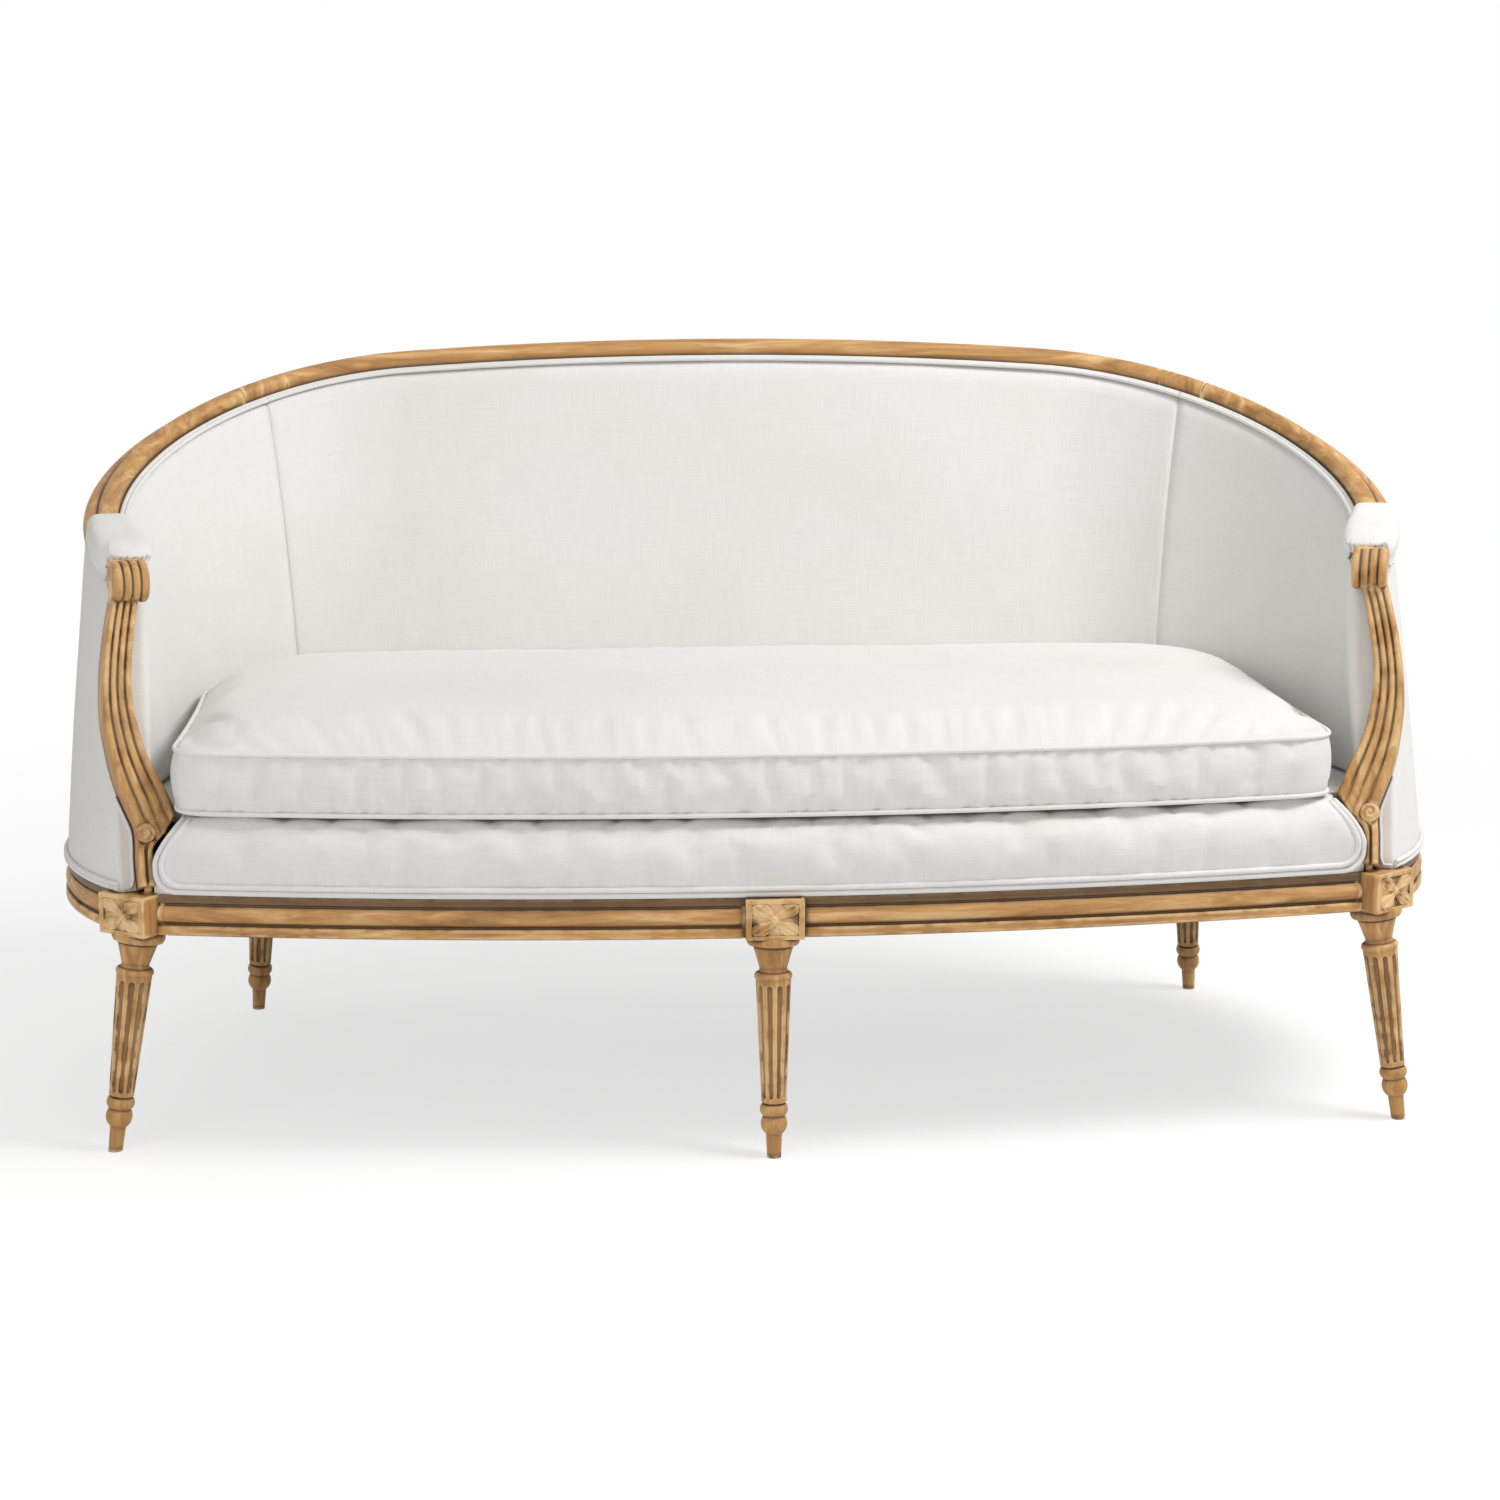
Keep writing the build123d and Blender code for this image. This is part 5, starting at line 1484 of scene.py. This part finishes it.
def arm_pad_ring(level, turn):
    """Point of the arm pad's cover: level 0 at the hem and 1 at the crown, turn 0 at the front."""
    step = rail_point(ARM_END_SEAT, 0, 0) - rail_point(ARM_END_SEAT + 1, 0, 0)
    rear = (ARM_END_SEAT - ARM_PAD_ANGLE) * step.length
    climb = math.radians(90 * level)
    fades = 0.34 + 0.22 * math.sin(7 * turn + 1) * math.sin(4 * turn)
    crease = math.sin(ARM_PAD_GATHERS * turn / 2 + 0.8 * math.sin(5 * turn)) / 0.45
    inner = blend(0.35, 0.70, -math.sin(turn))
    gather = 1 - 0.085 * (1 - inner) * (1 - blend(0.04, fades, level)) * math.exp(-crease ** 2)
    size = (0.84 + 0.16 * blend(0.0, 0.36, level)) * math.cos(climb) ** 0.38 * gather
    front = math.cos(turn)
    square = blend(0.0, -0.6, front)
    reach = (ARM_PAD_NOSE - rear) / 2 * power(front, 0.75 - 0.35 * square)
    along = (ARM_PAD_NOSE + rear) / 2 + reach * (size + (1 - size) * 0.5 * square)
    across = ARM_PAD_SPREAD * power(math.sin(turn), 0.70 - 0.40 * square) * size * (1 - 0.10 * square)
    across *= 1 - 0.20 * inner * blend(-0.2, 0.4, front) * (1 - blend(0.0, 0.5, level))
    across += 0.003 * blend(0.75, 0.98, math.sin(turn))
    dropped = 0.95 * blend(0.70, 0.93, math.sin(turn)) + 0.55 * blend(0.40, 0.95, -math.sin(turn))
    low = ARM_PAD_HEM * (1 - dropped)
    hem = TOP_RAIL_HEIGHT * (low + (1.0 - low) * blend(-0.80, -0.945, front))
    crown = TOP_RAIL_HEIGHT + upholstery().pad_height
    rise = hem + (crown - hem) * math.sin(climb)
    return arm_pad_point(along, across + ARM_PAD_SHIFT, rise)


def arm_pad_rows():
    """Loops up the right arm pad, from inside its hem to its crown."""
    turns = [math.tau * part / 300 for part in range(300)]
    rows = [[arm_pad_ring(level, turn) for turn in turns] for level in spread(0.0, 0.985, 32)]
    middle = sum(rows[0], Vector()) / len(turns)
    inner = [point.lerp(middle, 0.16) + UP * 0.001 for point in rows[0]]
    return [inner, *rows]


def arm_pad_hem():
    """Line of the thin welt round the front and both sides of the arm pad's hem."""
    return [
        arm_pad_ring(0.0, math.radians(turn)) - UP * 0.0008 for turn in spread(-148.0, 148.0, 120)
    ]


class SOFA_OT_arm_pads(bpy.types.Operator):
    """Makes the stuffed pads on the arm rails, gathered at their hem over a thin welt"""

    bl_idname = "sofa.arm_pads"
    bl_label = "Arm pads"

    def execute(self, context):
        hem = tube(arm_pad_hem(), 0.6 * upholstery().welt_radius)
        for side, (rows, cord) in both_sides([arm_pad_rows(), hem]):
            pad = skin("arm_pad_soft_" + side, [(rows, True)])
            dress(pad, "frame", cover_fabric(), "cover_fabric", "arm_pad_" + side)
            welt = skin("arm_pad_welt_" + side, [(cord, True)])
            dress(welt, "frame", cover_fabric(), "cover_fabric")
        return {"FINISHED"}


RETURN_THICK = 0.004


def panel_face(angle, v):
    """Point of an outside panel's cover: tight, with a slight belly."""
    point = wall_point(angle, v, PANEL_DEPTH - 0.0025 * math.sin(math.pi * v) ** 0.6)
    return point + wall_out(angle) * grain(point, 0.18, 9) * 0.0010


def return_rows():
    """Loops up the cover's return, which closes the front of the arm behind its support."""
    facing = arm_facing()
    out = wall_out(ARM_END_SEAT)
    rows = []
    for share in spread(0.002, 0.998, 24):
        corner = panel_face(ARM_END_SEAT, share) + out * 0.0003
        front = [corner - facing * back for back in (0.008, 0.004, 0.001)]
        front.append(corner + facing * 0.0003 - out * 0.0008)
        front += [wall_point(ARM_END_SEAT, share, depth) + facing * 0.0003
                  for depth in spread(PANEL_DEPTH + 0.001, PAD_DEPTH, 8)]
        rear = [wall_point(ARM_END_SEAT, share, depth) - facing * RETURN_THICK
                for depth in (PAD_DEPTH, PANEL_DEPTH + PANEL_THICK)]
        rows.append(front + rear)
    return rows


def return_cord():
    """Fine cord up the post and along the support's outer edge, where the cover is closed."""
    facing = arm_facing()
    line = [wall_point(ARM_END_SEAT, 0.012, depth) + facing * 0.0012 for depth in (0.004, 0.010, 0.015)]
    for share in spread(0.035, 0.30, 24):
        offset = along_line(SUPPORT_OUTER, share) / 1000 + 0.0022
        line.append(support_point(share, offset, 0.0012))
    return tube(resampled(line, 60), 0.0018, 8, reference=facing)


def panel_rows(start, end, count):
    """Loops along an outside panel: a tight cover with a slight belly, over a thin board."""
    rows = []
    for angle in spread(start, end, count):
        row = [panel_face(angle, v) for v in spread(0.001, 0.999, 30)]
        for v in (0.999, 0.5, 0.001):
            row.append(wall_point(angle, v, PANEL_DEPTH + PANEL_THICK))
        rows.append(row)
    return rows


class SOFA_OT_outside_panels(bpy.types.Operator):
    """Covers the outside back and the outside arms"""

    bl_idname = "sofa.outside_panels"
    bl_label = "Outside panels"

    def execute(self, context):
        arm = [panel_rows(ARM_END_SEAT, POST_ANGLE, 80), return_rows(), return_cord()]
        panels = [lay("outside_back", [panel_rows(POST_ANGLE, 180 - POST_ANGLE, 120)])]
        for side, shells in both_sides(arm):
            panels.append(lay("outside_arm_" + side, shells))
        return {"FINISHED"}


def inner_welt_rows(start, end, count):
    """Two cords side by side below the top rail, inside."""
    radius = upholstery().welt_radius
    angles = spread(start, end, count)
    return [
        tube([rail_point(angle, depth, rise) for angle in angles], radius)
        for depth, rise in (
            (TOP_RAIL_WIDTH + 1.1 * radius, 1.5 * radius), (TOP_RAIL_WIDTH + 2.9 * radius, 0.8 * radius),
        )
    ]


def outer_welt_rows(start, end, count):
    """Two cords one above the other along the foot of an outside panel."""
    radius = upholstery().welt_radius
    angles = spread(start, end, count)
    return [
        tube([ring_point(SEAT_RING, angle, 0.002) + UP * height for angle in angles], radius)
        for height in (DECK_BASE + radius, DECK_BASE + 2.9 * radius)
    ]


class SOFA_OT_welts(bpy.types.Operator):
    """Lays the double welts under the top rail and along the foot of the outside"""

    bl_idname = "sofa.welts"
    bl_label = "Frame welts"

    def execute(self, context):
        for kind, rows_of in (("inner", inner_welt_rows), ("outer", outer_welt_rows)):
            lay(kind + "_back_welt", rows_of(POST_ANGLE, 180 - POST_ANGLE, 160))
            for side, cords in both_sides(rows_of(ARM_END_SEAT + 0.5, POST_ANGLE, 120)):
                lay(kind + "_arm_welt_" + side, cords)
        return {"FINISHED"}


def area_light(name, at, target, size, power):
    """Soft square light that looks at a target."""
    data = bpy.data.lights.new(name, "AREA")
    data.size = size
    data.energy = power
    lamp = bpy.data.objects.new(name, data)
    lamp.location = at
    lamp.rotation_euler = (Vector(target) - Vector(at)).to_track_quat("-Z", "Y").to_euler()
    bpy.context.scene.collection.objects.link(lamp)
    return lamp


FLOOR_NEAR = 1.2
FLOOR_FAR = 3.0
FLOOR_SHADOW = (0.42, 0.42, 0.42, 1)
WHITE = (1, 1, 1, 1)


def camera_share(tree):
    """Light path value of 1 for what the camera sees, straight or in a reflection."""
    path = place(tree, "ShaderNodeLightPath").outputs
    mirror = maths(tree, "MAXIMUM", path["Is Glossy Ray"], path["Is Transmission Ray"])
    return maths(tree, "MAXIMUM", path["Is Camera Ray"], mirror)


def mixed_shader(tree, share, first, second):
    """Shader between two shaders by a share."""
    return place(tree, "ShaderNodeMixShader", {"Fac": share, 1: first, 2: second}).outputs[0]


def floor_material(settings):
    """Pale floor: it keeps the sofa's shadow nearby and runs out to white further off."""
    material, tree, shader = new_material("Studio floor")
    feed(tree, shader, {"Base Color": settings.floor, "Roughness": 0.9, "Specular IOR Level": 0.1})
    shadowed = place(tree, "ShaderNodeBsdfDiffuse", {"Color": FLOOR_SHADOW})
    glow = place(tree, "ShaderNodeEmission", {"Strength": settings.floor_glow})
    near = place(tree, "ShaderNodeAddShader", {0: shadowed.outputs[0], 1: glow.outputs[0]})
    reach = vector_maths(tree, "LENGTH", object_place(tree))
    off = ranged(tree, reach, FLOOR_NEAR, FLOOR_FAR, smooth=True)
    white = place(tree, "ShaderNodeEmission", {"Strength": 1.0})
    seen = mixed_shader(tree, off, near.outputs[0], white.outputs[0])
    surface = mixed_shader(tree, camera_share(tree), shader.outputs[0], seen)
    feed(tree, tree.nodes["Material Output"], {"Surface": surface})
    return material


def studio_sky(strength):
    """World that lights evenly and that the camera sees as pure white."""
    world = bpy.data.worlds.new("Studio")
    world.use_nodes = True
    tree = world.node_tree
    sky = tree.nodes["Background"]
    feed(tree, sky, {"Color": WHITE, "Strength": strength})
    white = place(tree, "ShaderNodeBackground", {"Color": WHITE, "Strength": 1.0})
    surface = mixed_shader(tree, camera_share(tree), sky.outputs[0], white.outputs[0])
    feed(tree, tree.nodes["World Output"], {"Surface": surface})
    return world


CAMERA_AT = Vector((-0.322, -4.008, 1.189))
CAMERA_YAW = 4.66
CAMERA_PITCH = -10.64
LIGHTS_AIM = (0, 0, 0.45)


class SOFA_OT_stage(bpy.types.Operator):
    """Lays the pale floor, hangs the soft lights and sets the camera at the photograph's angle"""

    bl_idname = "sofa.stage"
    bl_label = "Stage"

    def execute(self, context):
        scene = context.scene
        settings = studio()
        bpy.ops.mesh.primitive_plane_add(size=40.0)
        floor = context.object
        floor.name = "studio_floor"
        floor.data.materials.append(floor_material(settings))
        scene.world = studio_sky(settings.ambient)
        area_light("key_light", (2.4, -1.0, 3.6), LIGHTS_AIM, 1.6, settings.key)
        area_light("fill_light", (-2.2, -3.4, 1.9), LIGHTS_AIM, 2.4, settings.fill)

        data = bpy.data.cameras.new("photo_camera")
        data.lens = settings.lens
        data.sensor_width = 36.0
        camera = bpy.data.objects.new("photo_camera", data)
        yaw = math.radians(CAMERA_YAW)
        pitch = math.radians(CAMERA_PITCH)
        toward = Vector((
            math.sin(yaw) * math.cos(pitch), math.cos(yaw) * math.cos(pitch), math.sin(pitch),
        ))
        camera.location = CAMERA_AT
        camera.rotation_euler = toward.to_track_quat("-Z", "Y").to_euler()
        scene.collection.objects.link(camera)
        scene.camera = camera
        scene.view_settings.view_transform = "Standard"
        return {"FINISHED"}


PIECES = (
    SOFA_OT_timber, SOFA_OT_arm_supports, SOFA_OT_rosettes, SOFA_OT_seat_deck, SOFA_OT_seat_cushion,
    SOFA_OT_inside_pads, SOFA_OT_arm_pads, SOFA_OT_outside_panels, SOFA_OT_welts, SOFA_OT_stage,
)


class SOFA_PT_dressing(bpy.types.Panel):
    """Lists the settings and the steps that dress the sofa"""

    bl_idname = "SOFA_PT_dressing"
    bl_label = "Carved sofa"
    bl_space_type = "VIEW_3D"
    bl_region_type = "UI"
    bl_category = "Sofa"

    def draw(self, context):
        scene = context.scene
        for title, group in (
            ("Upholstery", scene.sofa_upholstery), ("Carving", scene.sofa_carving),
            ("Finish", scene.sofa_finish), ("Stage", scene.sofa_stage),
        ):
            box = self.layout.box()
            box.label(text=title)
            for key in group.__annotations__:
                box.prop(group, key)
        for step in PIECES:
            self.layout.operator(step.bl_idname)


GROUPS = {
    "sofa_upholstery": SofaUpholstery,
    "sofa_carving": SofaCarving,
    "sofa_finish": SofaFinish,
    "sofa_stage": SofaStage,
}


def register():
    """Register the settings, the steps and the panel."""
    for group in GROUPS.values():
        bpy.utils.register_class(group)
    for name, group in GROUPS.items():
        setattr(bpy.types.Scene, name, PointerProperty(type=group))
    for step in PIECES:
        bpy.utils.register_class(step)
    bpy.utils.register_class(SOFA_PT_dressing)


def unregister():
    """Take the panel, the steps and the settings away again."""
    bpy.utils.unregister_class(SOFA_PT_dressing)
    for step in reversed(PIECES):
        bpy.utils.unregister_class(step)
    for name, group in GROUPS.items():
        delattr(bpy.types.Scene, name)
        bpy.utils.unregister_class(group)


def main():
    """Dress the sofa."""
    register()
    bpy.ops.sofa.timber()
    bpy.ops.sofa.arm_supports()
    bpy.ops.sofa.rosettes()
    bpy.ops.sofa.seat_deck()
    bpy.ops.sofa.seat_cushion()
    bpy.ops.sofa.inside_pads()
    bpy.ops.sofa.arm_pads()
    bpy.ops.sofa.outside_panels()
    bpy.ops.sofa.welts()
    bpy.ops.sofa.stage()


if __name__ == "__main__":
    main()
